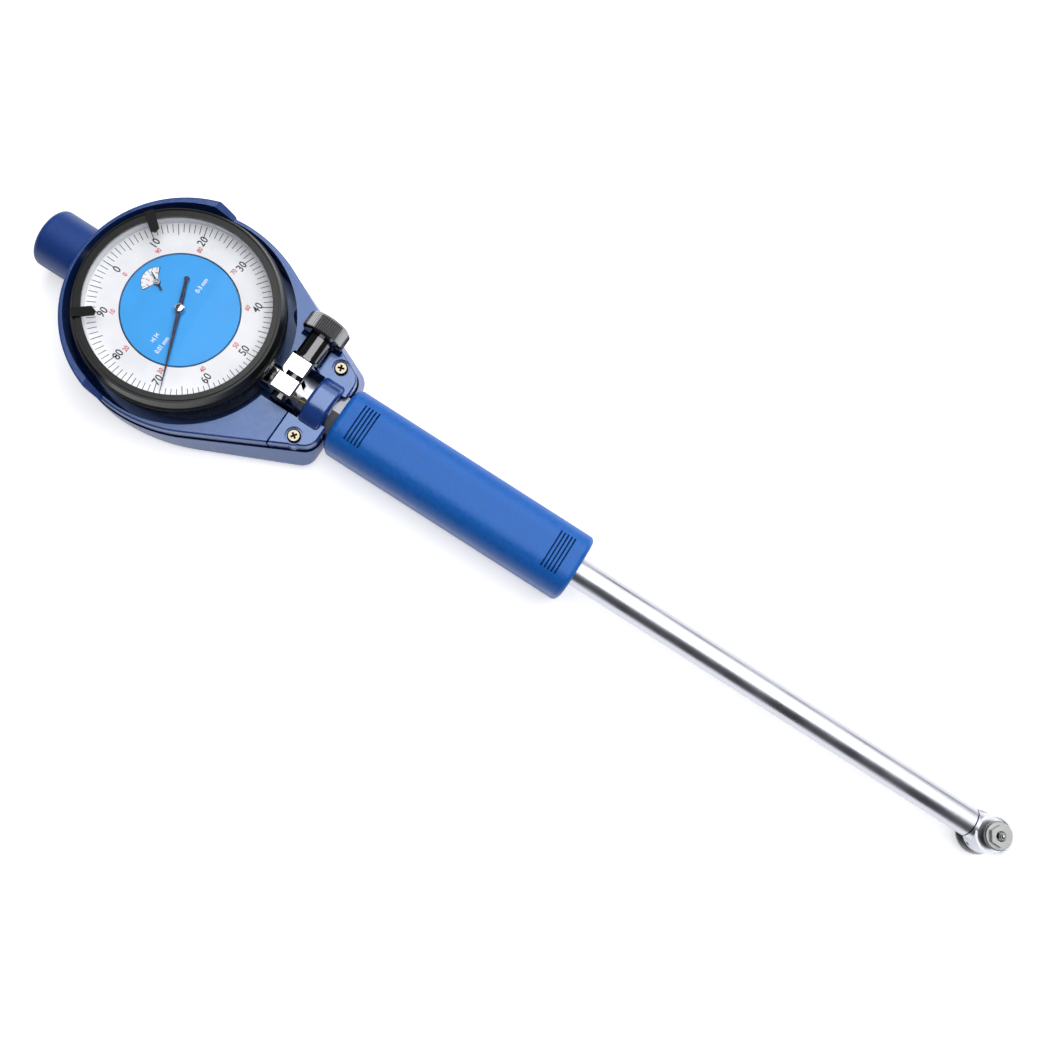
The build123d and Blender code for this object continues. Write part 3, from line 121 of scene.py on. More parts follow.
# Small counter: half the fan's angle, first mark, steps between marks and numbers, sizes of the print.
FAN_HALF_DEG = 62
FAN_FIRST_DEG = 54
FAN_MARK_DEG = 18
FAN_NUMBER_DEG = 36
FAN_EDGE = 0.12 * MM
FAN_MARK_W = 0.13 * MM
FAN_NUMBER_H = 0.95 * MM
FAN_NUMBER_SHARE = 0.62
PRINT_Z = CENTRE_Z + 1.5 * INK

# Cap on the counter's arbor.
CAP_R = 0.8 * MM
CAP_H = 0.3 * MM
CAP_DISH = 0.14 * MM

# Stage, in metres: what the lamps and the camera look at, and the places and sizes of the lamps.
LAMP_AIM = (0.235, 0.0, 0.0)
SOFTBOX_PLACE = (0.235, 0.342, 0.94)
SOFTBOX_SIZE = (1.13, 1.4)
PANEL_PLACE = (0.235, 0.91, 0.42)
PANEL_SIZE = (1.13, 0.3)
PANEL_SHARE = 0.1
CAMERA_AIM = (0.10981, 0.003177, AXIS_Z)
FLOOR_GLOW = 0.55


def linear(code):
    """A colour written as sRGB hex, in the linear values that shaders take."""
    channels = []
    for i in (1, 3, 5):
        c = int(code[i:i + 2], 16) / 255
        channels.append(c / 12.92 if c <= 0.04045 else ((c + 0.055) / 1.055) ** 2.4)
    return (*channels, 1.0)


def add_node(tree, kind, inputs=None, **settings):
    """Adds a shader node, sets its options and fills or links its inputs."""
    node = tree.nodes.new(kind)
    for key, value in settings.items():
        setattr(node, key, value)
    for key, value in (inputs or {}).items():
        if isinstance(value, bpy.types.NodeSocket):
            tree.links.new(value, node.inputs[key])
        else:
            node.inputs[key].default_value = value
    return node


def new_material(name):
    """Empty material with its shader, its output and object coordinates in millimetres."""
    material = bpy.data.materials.new(name)
    material.use_nodes = True
    tree = material.node_tree
    tree.nodes.clear()
    shader = add_node(tree, "ShaderNodeBsdfPrincipled")
    output = add_node(tree, "ShaderNodeOutputMaterial", {"Surface": shader.outputs[0]})
    place = add_node(tree, "ShaderNodeTexCoord")
    mapping = add_node(tree, "ShaderNodeMapping", {0: place.outputs["Object"], "Scale": (1 / MM,) * 3})
    return material, tree, shader, output, mapping.outputs[0]


def grain(tree, place, size_mm, detail=2.0, stretch=None):
    """Noise whose blobs are about size_mm across, drawn out along an axis if told."""
    if stretch:
        place = add_node(tree, "ShaderNodeMapping", {0: place, "Scale": stretch}).outputs[0]
    noise = add_node(tree, "ShaderNodeTexNoise", {0: place, "Scale": 0.7 / size_mm, "Detail": detail})
    return noise.outputs[0]


def spread(tree, value, low, high):
    """Turns a noise value into a value between low and high."""
    inputs = {0: value, 1: 0.3, 2: 0.7, 3: low, 4: high}
    return add_node(tree, "ShaderNodeMapRange", inputs).outputs[0]


def tint(tree, value, colour, swing):
    """Turns a noise value into a colour that strays from the given one by a share of it."""
    dark = [c * (1 - swing) for c in colour[:3]] + [1.0]
    light = [min(1.0, c * (1 + swing)) for c in colour[:3]] + [1.0]
    return blend(tree, spread(tree, value, 0.0, 1.0), dark, light)


def bump(tree, shader, height, distance_mm):
    """Bends the shading by a height of some millimetres."""
    node = add_node(tree, "ShaderNodeBump", {"Height": height, "Distance": distance_mm * MM, "Strength": 1.0})
    tree.links.new(node.outputs[0], shader.inputs["Normal"])


def reckon(tree, operation, first, second=0.0, third=0.0):
    """One step of arithmetic on values of a surface."""
    return add_node(tree, "ShaderNodeMath", {0: first, 1: second, 2: third}, operation=operation).outputs[0]


def near(tree, value, middle, reach):
    """1 where a value lies within reach of the middle, or else 0."""
    away = reckon(tree, "ABSOLUTE", reckon(tree, "SUBTRACT", value, middle))
    return reckon(tree, "LESS_THAN", away, reach)


def blend(tree, share, first, second):
    """Colour between two others."""
    return add_node(tree, "ShaderNodeMix", {0: share, 6: first, 7: second}, data_type="RGBA").outputs[2]


def moulded_abs(name, colour, grain_mm, depth_mm, roughness, ior, shade):
    """Injection-moulded ABS: satin, finely pebbled, with painted shade where the shade mask finds a line."""
    material, tree, shader, _, place = new_material(name)
    pebbles = grain(tree, place, grain_mm, 3.0)
    dark = shade(tree, place)
    # Painted shade colour of the lines: a small share of the plastic's colour.
    line_shade_colour = [c * LINE_SHADE for c in colour[:3]] + [1.0]
    tree.links.new(blend(tree, dark, tint(tree, pebbles, colour, 0.1), line_shade_colour), shader.inputs["Base Color"])
    # Metallic in the lines alone: it keeps their painted shade dark, without the plastic's sheen.
    tree.links.new(dark, shader.inputs["Metallic"])
    shader.inputs["Specular Tint"].default_value = linear(SHEEN)
    tree.links.new(spread(tree, pebbles, roughness - 0.05, roughness + 0.06), shader.inputs["Roughness"])
    shader.inputs["IOR"].default_value = ior
    bump(tree, shader, pebbles, depth_mm)
    return material


def guard_joints(tree, place):
    """Painted shade: dark lines in the gaps where deck, cover and tray meet."""
    parts = add_node(tree, "ShaderNodeSeparateXYZ", {0: place})
    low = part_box("end_cover")[0] / MM
    across = near(tree, parts.outputs[0], low.x, JOINT_LINE_MM)
    across = reckon(tree, "MULTIPLY", across, reckon(tree, "GREATER_THAN", parts.outputs[2], low.z))
    round_edge = near(tree, parts.outputs[2], low.z, JOINT_LINE_MM)
    return reckon(tree, "MAXIMUM", across, round_edge)


def grip_grooves(tree, place):
    """Painted shade in the grip's grooves, which lie alike at both ends."""
    low, high = (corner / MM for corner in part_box("handle_top"))
    parts = add_node(tree, "ShaderNodeSeparateXYZ", {0: place})
    along = reckon(tree, "SUBTRACT", parts.outputs[0], (low.x + high.x) / 2)
    from_middle = reckon(tree, "ABSOLUTE", along)
    span = (GROOVE_COUNT - 1) * GROOVE_PITCH_MM
    group = (high.x - low.x) / 2 - GROOVE_INSET_MM - span / 2
    offset = reckon(tree, "SUBTRACT", from_middle, group)
    turn = reckon(tree, "WRAP", offset, GROOVE_PITCH_MM / 2, -GROOVE_PITCH_MM / 2)
    line = near(tree, turn, 0.0, GROOVE_PITCH_MM * 0.24)
    line = reckon(tree, "MULTIPLY", line, near(tree, offset, 0.0, span / 2 + GROOVE_PITCH_MM / 2))
    below_lip = reckon(tree, "LESS_THAN", parts.outputs[2], high.z - GROOVE_LIP_MM)
    above_floor = reckon(tree, "GREATER_THAN", parts.outputs[2], high.z - GROOVE_FLOOR_MM)
    return reckon(tree, "MULTIPLY", line, reckon(tree, "MULTIPLY", below_lip, above_floor))


def head_joint(tree, place):
    """Painted shade: a dark line in the gap of the joint between tube and head."""
    parts = add_node(tree, "ShaderNodeSeparateXYZ", {0: place})
    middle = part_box("tube")[1].x / MM + HEAD_JOINT_MM
    return near(tree, parts.outputs[0], middle, HEAD_JOINT_HALF_MM)


def screw_depth(tree, place):
    """Painted shade on all of a crossed screw but the outer skin of its head, so its recess looks dark."""
    height = add_node(tree, "ShaderNodeSeparateXYZ", {0: place}).outputs[2]
    upper = reckon(tree, "LESS_THAN", height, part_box("cover_screws")[1].z / MM - SCREW_SKIN_MM)
    lower = reckon(tree, "GREATER_THAN", height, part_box("guard_screws")[0].z / MM + SCREW_SKIN_MM)
    return reckon(tree, "MULTIPLY", upper, lower)


def plated(name, colour, roughness, smear_mm=4.0, lines=None, shade=None):
    """Plated, ground or turned metal: its gloss is a little uneven, with fine lines and shade if told."""
    material, tree, shader, _, place = new_material(name)
    smear = grain(tree, place, smear_mm)
    skin = tint(tree, smear, linear(colour), 0.06)
    if shade:
        # Painted shade: near-black where the shade mask finds a recess or a gap.
        skin = blend(tree, shade(tree, place), skin, linear("#17171A"))
    tree.links.new(skin, shader.inputs["Base Color"])
    tree.links.new(spread(tree, smear, roughness * 0.8, roughness * 1.25), shader.inputs["Roughness"])
    shader.inputs["Metallic"].default_value = 1.0
    if lines:
        bump(tree, shader, grain(tree, place, 0.5, 2.0, lines), 0.004)
    return material


def enamel(name, colour, roughness, grain_mm=0.4, depth_mm=0.006, ior=1.5):
    """Stoved enamel, oxide or printing ink: an even coat with a fine skin."""
    material, tree, shader, _, place = new_material(name)
    skin = grain(tree, place, grain_mm)
    tree.links.new(tint(tree, grain(tree, place, 6.0), colour, 0.05), shader.inputs["Base Color"])
    tree.links.new(spread(tree, skin, roughness - 0.04, roughness + 0.05), shader.inputs["Roughness"])
    shader.inputs["IOR"].default_value = ior
    bump(tree, shader, skin, depth_mm)
    return material


def oiled_oxide(name, colour, roughness):
    """Oiled black oxide on steel: glossy, worn bright on the tips of the thumb wheel's teeth."""
    material, tree, shader, _, place = new_material(name)
    low, high = (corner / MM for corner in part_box("thumb_screw"))
    middle = (low + high) / 2
    inputs = {0: place, "Location": (-middle.x, 0, -middle.z), "Scale": (1, 0, 1)}
    from_axis = add_node(tree, "ShaderNodeMapping", inputs)
    radius = add_node(tree, "ShaderNodeVectorMath", {0: from_axis.outputs[0]}, operation="LENGTH")
    tips = near(tree, radius.outputs["Value"], (high.z - low.z) / 2, KNURL_TIP_MM)
    oil = grain(tree, place, 0.8)
    coat = blend(tree, tips, tint(tree, oil, colour, 0.2), linear("#8C9098"))
    tree.links.new(coat, shader.inputs["Base Color"])
    tree.links.new(tips, shader.inputs["Metallic"])
    gloss = spread(tree, oil, roughness - 0.03, roughness + 0.05)
    tree.links.new(reckon(tree, "MULTIPLY_ADD", tips, 0.35, gloss), shader.inputs["Roughness"])
    shader.inputs["IOR"].default_value = 2.2
    return material


def mineral_glass(name):
    """Ground and polished glass: clear, with sharp reflections and a faint haze of dust."""
    material, tree, shader, output, place = new_material(name)
    dust = grain(tree, place, 1.5)
    tree.links.new(spread(tree, dust, 0.0, 0.02), shader.inputs["Roughness"])
    tree.links.new(tint(tree, dust, linear("#FCFDFF"), 0.01), shader.inputs["Base Color"])
    shader.inputs["Transmission Weight"].default_value = 1.0
    shader.inputs["IOR"].default_value = 1.1
    path = add_node(tree, "ShaderNodeLightPath")
    clear = add_node(tree, "ShaderNodeBsdfTransparent")
    unseen = reckon(tree, "MAXIMUM", path.outputs["Is Shadow Ray"], path.outputs["Is Diffuse Ray"])
    mix = add_node(tree, "ShaderNodeMixShader", {0: unseen, 1: shader.outputs[0], 2: clear.outputs[0]})
    tree.links.new(mix.outputs[0], output.inputs["Surface"])
    return material


def make_materials(colours):
    """Every finish of the gauge, under the name of what it is."""
    # Guard: navy ABS from a spark-eroded tool, satin, lighter where light grazes it.
    moulded_abs("guard_abs", colours.guard, 0.6, 0.012, 0.33, 2.35, guard_joints)
    # Rear cap: the same ABS from a duller tool.
    moulded_abs("cap_abs", colours.guard, 0.5, 0.02, 0.42, 1.65, guard_joints)
    # End cover: the same ABS from a polished tool.
    moulded_abs("gloss_abs", colours.guard, 0.6, 0.006, 0.2, 2.35, guard_joints)
    # Handle: brighter blue ABS with a coarser leather-like pebble, and painted shade in its grooves.
    moulded_abs("grip_abs", colours.grip, 0.7, 0.07, 0.4, 1.5, grip_grooves)
    # Bright chrome on the clamp block, stem and hub: a mirror with slight smears.
    plated("bright_chrome", "#EAEAEC", 0.1)
    # Satin chrome on tube, head and neck: soft, broad highlights, and painted shade in the joint between tube
    # and head.
    plated("satin_plating", "#C8CAD2", 0.32, 8.0, (6.0, 0.4, 0.4), head_joint)
    # Dull nickel on the anvil and the bridge: grey, with no clear reflection.
    plated("dull_nickel", "#A4A5A4", 0.38, 2.0)
    # Ground tool steel of spindle, rod and contacts.
    plated("ground_steel", "#AEAEB2", 0.28, 3.0, (6.0, 0.5, 0.5))
    # Zinc-nickel on the set screw: warm, slightly dull.
    plated("zinc_nickel", "#A69E88", 0.26, 0.6)
    # The same on the crossed screws, with painted shade in the recess.
    plated("screw_zinc", "#A69E88", 0.26, 0.6, shade=screw_depth)
    # Turned brass of the movement and the bushes.
    plated("turned_brass", "#C49A48", 0.25, 2.0, (0.5, 6.0, 6.0))
    # Drawn spring wire.
    plated("spring_wire", "#88888C", 0.32, 1.0)
    # Bezel and case: black stoved enamel, satin.
    enamel("bezel_enamel", linear("#0E1110"), 0.33)
    # Thumb screw, washer and anvil tip: oiled black oxide on steel, nearly a dark mirror.
    oiled_oxide("oiled_oxide", linear("#040406"), 0.1)
    # Limit markers: dull black lacquer on thin sheet.
    enamel("marker_lacquer", linear("#08090A"), 0.55, 0.5, 0.004, 1.35)
    # White stoved paint of the scale and its spacer.
    enamel("scale_paint", linear("#F2F2F5"), 0.5, 0.3, 0.001)
    # Blue stoved paint of the dial's centre.
    enamel("centre_paint", colours.dial_centre, 0.45, 0.3, 0.001)
    # Hands: dark navy enamel.
    enamel("hand_enamel", linear("#080E38"), 0.35, 0.3, 0.002)
    # Printing inks of the dial.
    enamel("black_ink", linear("#0C0C10"), 0.6, 0.2, 0.001)
    enamel("red_ink", linear("#C83A40"), 0.6, 0.2, 0.001)
    enamel("white_ink", linear("#F4F6FA"), 0.5, 0.2, 0.001)
    enamel("slate_ink", linear("#24507E"), 0.6, 0.2, 0.001)
    # Crystal of mineral glass.
    mineral_glass("crystal_glass")


NODE_FINISH = {
    "guard_abs": ("guard_back", "guard_front"),
    "cap_abs": ("rear_cap",),
    "gloss_abs": ("end_cover",),
    "grip_abs": ("handle_top", "handle_bottom"),
    "bright_chrome": ("stem", "spindle_bush", "pointer_hub", "spindle_cap", "clamp_block"),
    "satin_plating": ("tube", "head_body", "neck"),
    "dull_nickel": ("anvil", "centring_bridge"),
    "ground_steel": (
        "case_back_screws", "rack_pinion", "centre_pinion", "spring_anchor", "spindle", "spindle_contact",
        "push_rod", "crank_pin", "bell_crank", "contact_plunger", "contact_ball", "anvil_ball", "bridge_pins",
    ),
    "zinc_nickel": ("guard_screws", "cover_screws", "set_screw"),
    "turned_brass": (
        "movement_plate", "plate_pillars", "bridge_plate", "rack_wheel", "takeup_wheel", "rod_bushes",
    ),
    "spring_wire": ("hairspring", "return_spring", "rod_spring", "bridge_spring"),
    "bezel_enamel": ("indicator_case", "case_back", "bezel"),
    "oiled_oxide": ("clamp_washer", "thumb_screw", "anvil_tip"),
    "marker_lacquer": ("limit_marker_low", "limit_marker_high"),
    "scale_paint": ("scale_ring", "dial_spacer"),
    "centre_paint": ("dial_centre",),
    "hand_enamel": ("pointer", "counter_hand"),
    "crystal_glass": ("crystal",),
}


class GaugeColours(bpy.types.PropertyGroup):
    """Colours of the moulded parts and the dial."""

    guard: bpy.props.FloatVectorProperty(
        name="Guard", description="Moulded guard and end cover", default=linear("#183C85"),
        subtype="COLOR", size=4, min=0.0, max=1.0,
    )
    grip: bpy.props.FloatVectorProperty(
        name="Grip", description="Moulded handle", default=linear("#1862BA"),
        subtype="COLOR", size=4, min=0.0, max=1.0,
    )
    dial_centre: bpy.props.FloatVectorProperty(
        name="Dial centre", description="Painted disc under the hands", default=linear("#2FA2F0"),
        subtype="COLOR", size=4, min=0.0, max=1.0,
    )


class GaugeDialSizes(bpy.types.PropertyGroup):
    """Sizes of the dial's print."""

    tick_r: bpy.props.FloatProperty(
        name="Tick radius", description="Outer ends of the scale's marks", default=24.7 * MM,
        subtype="DISTANCE", unit="LENGTH", precision=5,
    )
    tick_w: bpy.props.FloatProperty(
        name="Tick width", description="Width of the finest marks", default=0.18 * MM,
        subtype="DISTANCE", unit="LENGTH", precision=5,
    )
    numeral_r: bpy.props.FloatProperty(
        name="Numeral radius", description="Circle on which the black numerals stand", default=20.4 * MM,
        subtype="DISTANCE", unit="LENGTH", precision=5,
    )
    numeral_h: bpy.props.FloatProperty(
        name="Numeral height", description="Height of the black numerals", default=2.3 * MM,
        subtype="DISTANCE", unit="LENGTH", precision=5,
    )
    return_r: bpy.props.FloatProperty(
        name="Return radius", description="Circle on which the red numerals stand", default=17.8 * MM,
        subtype="DISTANCE", unit="LENGTH", precision=5,
    )
    return_h: bpy.props.FloatProperty(
        name="Return height", description="Height of the red numerals", default=1.4 * MM,
        subtype="DISTANCE", unit="LENGTH", precision=5,
    )
    caption_h: bpy.props.FloatProperty(
        name="Caption height", description="Height of the words on the blue disc", default=1.3 * MM,
        subtype="DISTANCE", unit="LENGTH", precision=5,
    )
    counter_r: bpy.props.FloatProperty(
        name="Counter radius", description="Fan under the counter hand", default=4.3 * MM,
        subtype="DISTANCE", unit="LENGTH", precision=5,
    )


class GaugeStageSizes(bpy.types.PropertyGroup):
    """Camera and light."""

    lens: bpy.props.FloatProperty(
        name="Lens", description="Focal length of the camera in millimetres", default=39.161,
        subtype="DISTANCE_CAMERA", unit="CAMERA",
    )
    tilt: bpy.props.FloatProperty(
        name="Tilt", description="Camera's lean from straight above", default=math.radians(11.511),
        subtype="ANGLE",
    )
    roll: bpy.props.FloatProperty(
        name="Roll", description="Slant of the tube in the picture", default=math.radians(32.581),
        subtype="ANGLE",
    )
    distance: bpy.props.FloatProperty(
        name="Distance", description="From the camera to the tube's axis", default=0.319028,
        subtype="DISTANCE", unit="LENGTH",
    )
    softbox: bpy.props.FloatProperty(
        name="Softbox", description="Power of the large softbox in watts", default=14.0, unit="POWER",
    )
    room: bpy.props.FloatProperty(
        name="Room", description="Strength of the dim room round the table", default=0.08,
    )


def only(obj):
    """Selects one object and nothing else."""
    bpy.ops.object.select_all(action="DESELECT")
    obj.select_set(True)
    bpy.context.view_layer.objects.active = obj


def settle(obj, name, material, body):
    """Puts a piece's place in its mesh and gives it its name, finish, slot and body."""
    only(obj)
    bpy.ops.object.transform_apply(location=True, rotation=True, scale=True)
    obj.name = name
    obj.data.materials.clear()
    obj.data.materials.append(bpy.data.materials[material])
    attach(obj, body)
    return obj


def join(parts):
    """Joins objects into the first one."""
    bpy.ops.object.select_all(action="DESELECT")
    for part in parts:
        part.select_set(True)
    bpy.context.view_layer.objects.active = parts[0]
    bpy.ops.object.join()
    return parts[0]


def dial_point(radius, degrees):
    """Point on the dial, clockwise from the zero mark, which faces -X."""
    angle = math.radians(degrees)
    return Vector((-radius * math.cos(angle), radius * math.sin(angle), 0))


def bar(spot, size, degrees=0.0):
    """Small block of print or metal, turned about Z, with its place applied."""
    bpy.ops.object.select_all(action="DESELECT")
    bpy.ops.mesh.primitive_cube_add(size=1, location=spot, rotation=(0, 0, math.radians(degrees)), scale=size)
    bpy.ops.object.transform_apply(location=True, rotation=True, scale=True)
    return bpy.context.object


def marks(count, outer, length, width, face_z):
    """Ring of equal marks, the first on the zero line."""
    obj = bar((-(outer - length / 2), 0, face_z + INK / 2), (length, width, INK))
    bpy.ops.object.mode_set(mode="EDIT")
    bpy.ops.mesh.select_all(action="SELECT")
    turn = 2 * math.pi * (count - 1) / count
    bpy.ops.mesh.spin(steps=count - 1, dupli=True, angle=turn, center=(0, 0, 0), axis=(0, 0, 1))
    bpy.ops.object.mode_set(mode="OBJECT")
    return obj


def words(text, height, spot, face_z, narrow=0.85, weight=0.012):
    """Printed words, upright on the dial, centred on a point of its face."""
    bpy.ops.object.select_all(action="DESELECT")
    bpy.ops.object.text_add(location=(0, 0, 0))
    obj = bpy.context.object
    obj.data.body = text
    obj.data.extrude = 0.01
    obj.data.offset = weight
    obj.data.resolution_u = 3
    bpy.ops.object.convert(target="MESH")
    obj = bpy.context.object
    xs = [v.co.x for v in obj.data.vertices]
    ys = [v.co.y for v in obj.data.vertices]
    grow = height / (max(ys) - min(ys))
    centre = Vector(((max(xs) + min(xs)) / 2, (max(ys) + min(ys)) / 2, -0.01))
    place = Matrix.Translation((spot[0], spot[1], face_z)) @ Matrix.Rotation(math.pi / 2, 4, "Z")
    size = Matrix.Diagonal((grow * narrow, grow, INK / 0.02, 1))
    obj.data.transform(place @ size @ Matrix.Translation(-centre))
    return obj


def sector(hub, radius, half_deg, z):
    """Flat fan of print, open towards -X, with its point at the hub."""
    steps = 90
    bpy.ops.object.select_all(action="DESELECT")
    spot = (hub.x, hub.y, z)
    bpy.ops.mesh.primitive_circle_add(vertices=steps, radius=radius, fill_type="TRIFAN", location=spot)
    obj = bpy.context.object
    bpy.ops.object.transform_apply(location=True, rotation=True, scale=True)
    for face in obj.data.polygons:
        out = face.center - hub
        face.select = abs(math.degrees(math.atan2(out.y, -out.x))) > half_deg
    bpy.context.tool_settings.mesh_select_mode = (False, False, True)
    bpy.ops.object.mode_set(mode="EDIT")
    bpy.ops.mesh.delete(type="FACE")
    bpy.ops.mesh.select_all(action="SELECT")
    bpy.ops.mesh.extrude_region_move(TRANSFORM_OT_translate={"value": (0, 0, INK)})
    bpy.ops.mesh.select_all(action="SELECT")
    bpy.ops.mesh.normals_make_consistent(inside=False)
    bpy.ops.object.mode_set(mode="OBJECT")
    return obj


def loose_copies(node):
    """One merged copy for each separate solid of a carried-over node."""
    obj = bpy.data.objects.new(node + "_copy", nodes[node].data.copy())
    bpy.context.scene.collection.objects.link(obj)
    only(obj)
    bpy.ops.object.mode_set(mode="EDIT")
    bpy.ops.mesh.select_all(action="SELECT")
    bpy.ops.mesh.remove_doubles(threshold=1e-6)
    bpy.ops.mesh.separate(type="LOOSE")
    bpy.ops.object.mode_set(mode="OBJECT")
    return list(bpy.context.selected_objects)


def cut(obj, cutter):
    """Takes a cutter's shape out of a piece."""
    only(obj)
    boolean = obj.modifiers.new("recess", "BOOLEAN")
    boolean.operation = "DIFFERENCE"
    boolean.solver = "EXACT"
    boolean.object = cutter
    bpy.ops.object.modifier_apply(modifier="recess")
    bpy.data.objects.remove(cutter)


def cross_cutter(spot, width, depth, turn):
    """Two crossed bars that narrow downwards, as the point of a screwdriver does."""
    arms = []
    for degrees in (turn, turn + 90):
        arm = bar(spot, (width, width * CROSS_ARM_SHARE, 2 * depth), degrees)
        for v in arm.data.vertices:
            if v.co.z < spot.z:
                v.co.x = spot.x + (v.co.x - spot.x) * 0.5
                v.co.y = spot.y + (v.co.y - spot.y) * 0.5
        arms.append(arm)
    first, second = arms
    only(first)
    union = first.modifiers.new("union", "BOOLEAN")
    union.operation = "UNION"
    union.solver = "EXACT"
    union.object = second
    bpy.ops.object.modifier_apply(modifier="union")
    bpy.data.objects.remove(second)
    return first


def joint_spot(joint):
    """Where a joint's axis meets the dial's plane."""
    for j in frame["joints"]:
        if j["name"] == joint:
            return Vector((j["pos_m"][0], j["pos_m"][1], 0))
    raise RuntimeError(f"no joint named {joint}")


class GAUGE_OT_finishes(bpy.types.Operator):
    """Makes the finishes and gives every carried-over node its own"""

    bl_idname = "gauge.finishes"
    bl_label = "Finishes"

    def execute(self, context):
        make_materials(context.scene.gauge_colours)
        for finish, names in NODE_FINISH.items():
            for name in names:
                slots = nodes[name].data.materials
                slots.clear()
                slots.append(bpy.data.materials[finish])
        return {"FINISHED"}


class GAUGE_OT_screw_recesses(bpy.types.Operator):
    """Cuts the driver recesses of the screws that show"""

    bl_idname = "gauge.screw_recesses"
    bl_label = "Screw recesses"

    def execute(self, context):
        self.crossed("cover_screws", 1)
        self.crossed("guard_screws", -1)
        self.slotted("set_screw")
        return {"FINISHED"}

    def crossed(self, node, side):
        """Cross recess in the outer face of each screw, above or below."""
        screws = loose_copies(node)
        for i, screw in enumerate(screws):
            xs = [v.co.x for v in screw.data.vertices]
            ys = [v.co.y for v in screw.data.vertices]
            zs = [side * v.co.z for v in screw.data.vertices]
            spot = Vector(((min(xs) + max(xs)) / 2, (min(ys) + max(ys)) / 2, side * max(zs)))
            width = (max(xs) - min(xs)) * CROSS_SHARE
            cutter = cross_cutter(spot, width, CROSS_DEPTH, CROSS_FIRST_DEG + CROSS_STEP_DEG * i)
            if side < 0:
                for v in cutter.data.vertices:
                    v.co.z = 2 * spot.z - v.co.z
                cutter.data.flip_normals()
            cut(screw, cutter)
        piece = settle(join(screws), node + "_crossed", "screw_zinc", "frame")
        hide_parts(node)

    def slotted(self, node):
        """Slot across the end of the set screw, which leans out of the neck."""
        screw = loose_copies(node)[0]
        low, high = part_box(node)
        middle = (low + high) / 2
        axis = Vector((middle.x, 0, AXIS_Z))
        out = (middle - axis).normalized()
        reach = max((v.co - axis).dot(out) for v in screw.data.vertices)
        slot = bar((0, 0, 0), (high.x - low.x + MM, SLOT_W, 2 * SLOT_DEPTH))
        lean = Vector((0, 0, 1)).rotation_difference(out).to_matrix().to_4x4()
        slot.data.transform(Matrix.Translation(axis + out * reach) @ lean)
        cut(screw, slot)
        piece = settle(screw, node + "_slotted", "zinc_nickel", "frame")
        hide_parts(node)


class GAUGE_OT_dial_print(bpy.types.Operator):
    """Prints the scale's marks and numerals on the turning scale ring"""

    bl_idname = "gauge.dial_print"
    bl_label = "Scale print"

    def execute(self, context):
        sizes = context.scene.gauge_dial
        parts = []
        for i, (count, length, wider) in enumerate(SCALE_MARKS):
            parts.append(marks(count, sizes.tick_r, length, sizes.tick_w * wider, DIAL_Z + i * INK / 4))
        settle(join(parts), "scale_marks", "black_ink", "bezel_ring")
        numerals = []
        returns = []
        for i in range(10):
            spot = dial_point(sizes.numeral_r, 36 * i)
            numerals.append(words(str(10 * i), sizes.numeral_h, spot, DIAL_Z))
            back = str(100 - 10 * i) if i else "0"
            spot = dial_point(sizes.return_r, 36 * i)
            returns.append(words(back, sizes.return_h, spot, DIAL_Z, 0.8, 0.015))
        settle(join(numerals), "scale_numerals", "black_ink", "bezel_ring")
        settle(join(returns), "return_numerals", "red_ink", "bezel_ring")
        return {"FINISHED"}


class GAUGE_OT_centre_print(bpy.types.Operator):
    """Prints the captions and the line round the disc on the dial's fixed centre"""

    bl_idname = "gauge.centre_print"
    bl_label = "Centre print"

    def execute(self, context):
        height = context.scene.gauge_dial.caption_h
        captions = [words(text, height, spot, CENTRE_Z, weight=0.02) for text, spot in CAPTIONS]
        settle(join(captions), "dial_captions", "white_ink", "frame")
        bpy.ops.object.select_all(action="DESELECT")
        bpy.ops.mesh.primitive_torus_add(
            major_radius=CENTRE_R - 0.1 * MM, minor_radius=0.09 * MM, major_segments=144, minor_segments=6,
            location=(0, 0, CENTRE_Z),
        )
        edge = bpy.context.object
        edge.scale.z = 0.4
        settle(edge, "disc_edge", "slate_ink", "frame")
        return {"FINISHED"}


class GAUGE_OT_counter_cap(bpy.types.Operator):
    """Turns the small cap that holds the counter hand on its arbor"""

    bl_idname = "gauge.counter_cap"
    bl_label = "Counter cap"

    def execute(self, context):
        spot = joint_spot("counter_turn")
        spot.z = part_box("counter_hand")[1].z + 0.1 * MM
        bpy.ops.object.select_all(action="DESELECT")
        bpy.ops.mesh.primitive_cylinder_add(vertices=36, radius=CAP_R, depth=CAP_H, location=spot)
        cap = bpy.context.object
        for face in cap.data.polygons:
            face.select = face.normal.z > 0.5
        bpy.context.tool_settings.mesh_select_mode = (False, False, True)
        bpy.ops.object.mode_set(mode="EDIT")
        bpy.ops.mesh.inset(thickness=0.18 * MM)
        bpy.ops.mesh.inset(thickness=0.2 * MM, depth=-CAP_DISH)
        bpy.ops.mesh.inset(thickness=0.08 * MM, depth=CAP_DISH)
        bpy.ops.object.mode_set(mode="OBJECT")
        settle(cap, "counter_cap", "ground_steel", "takeup_gear")
        return {"FINISHED"}


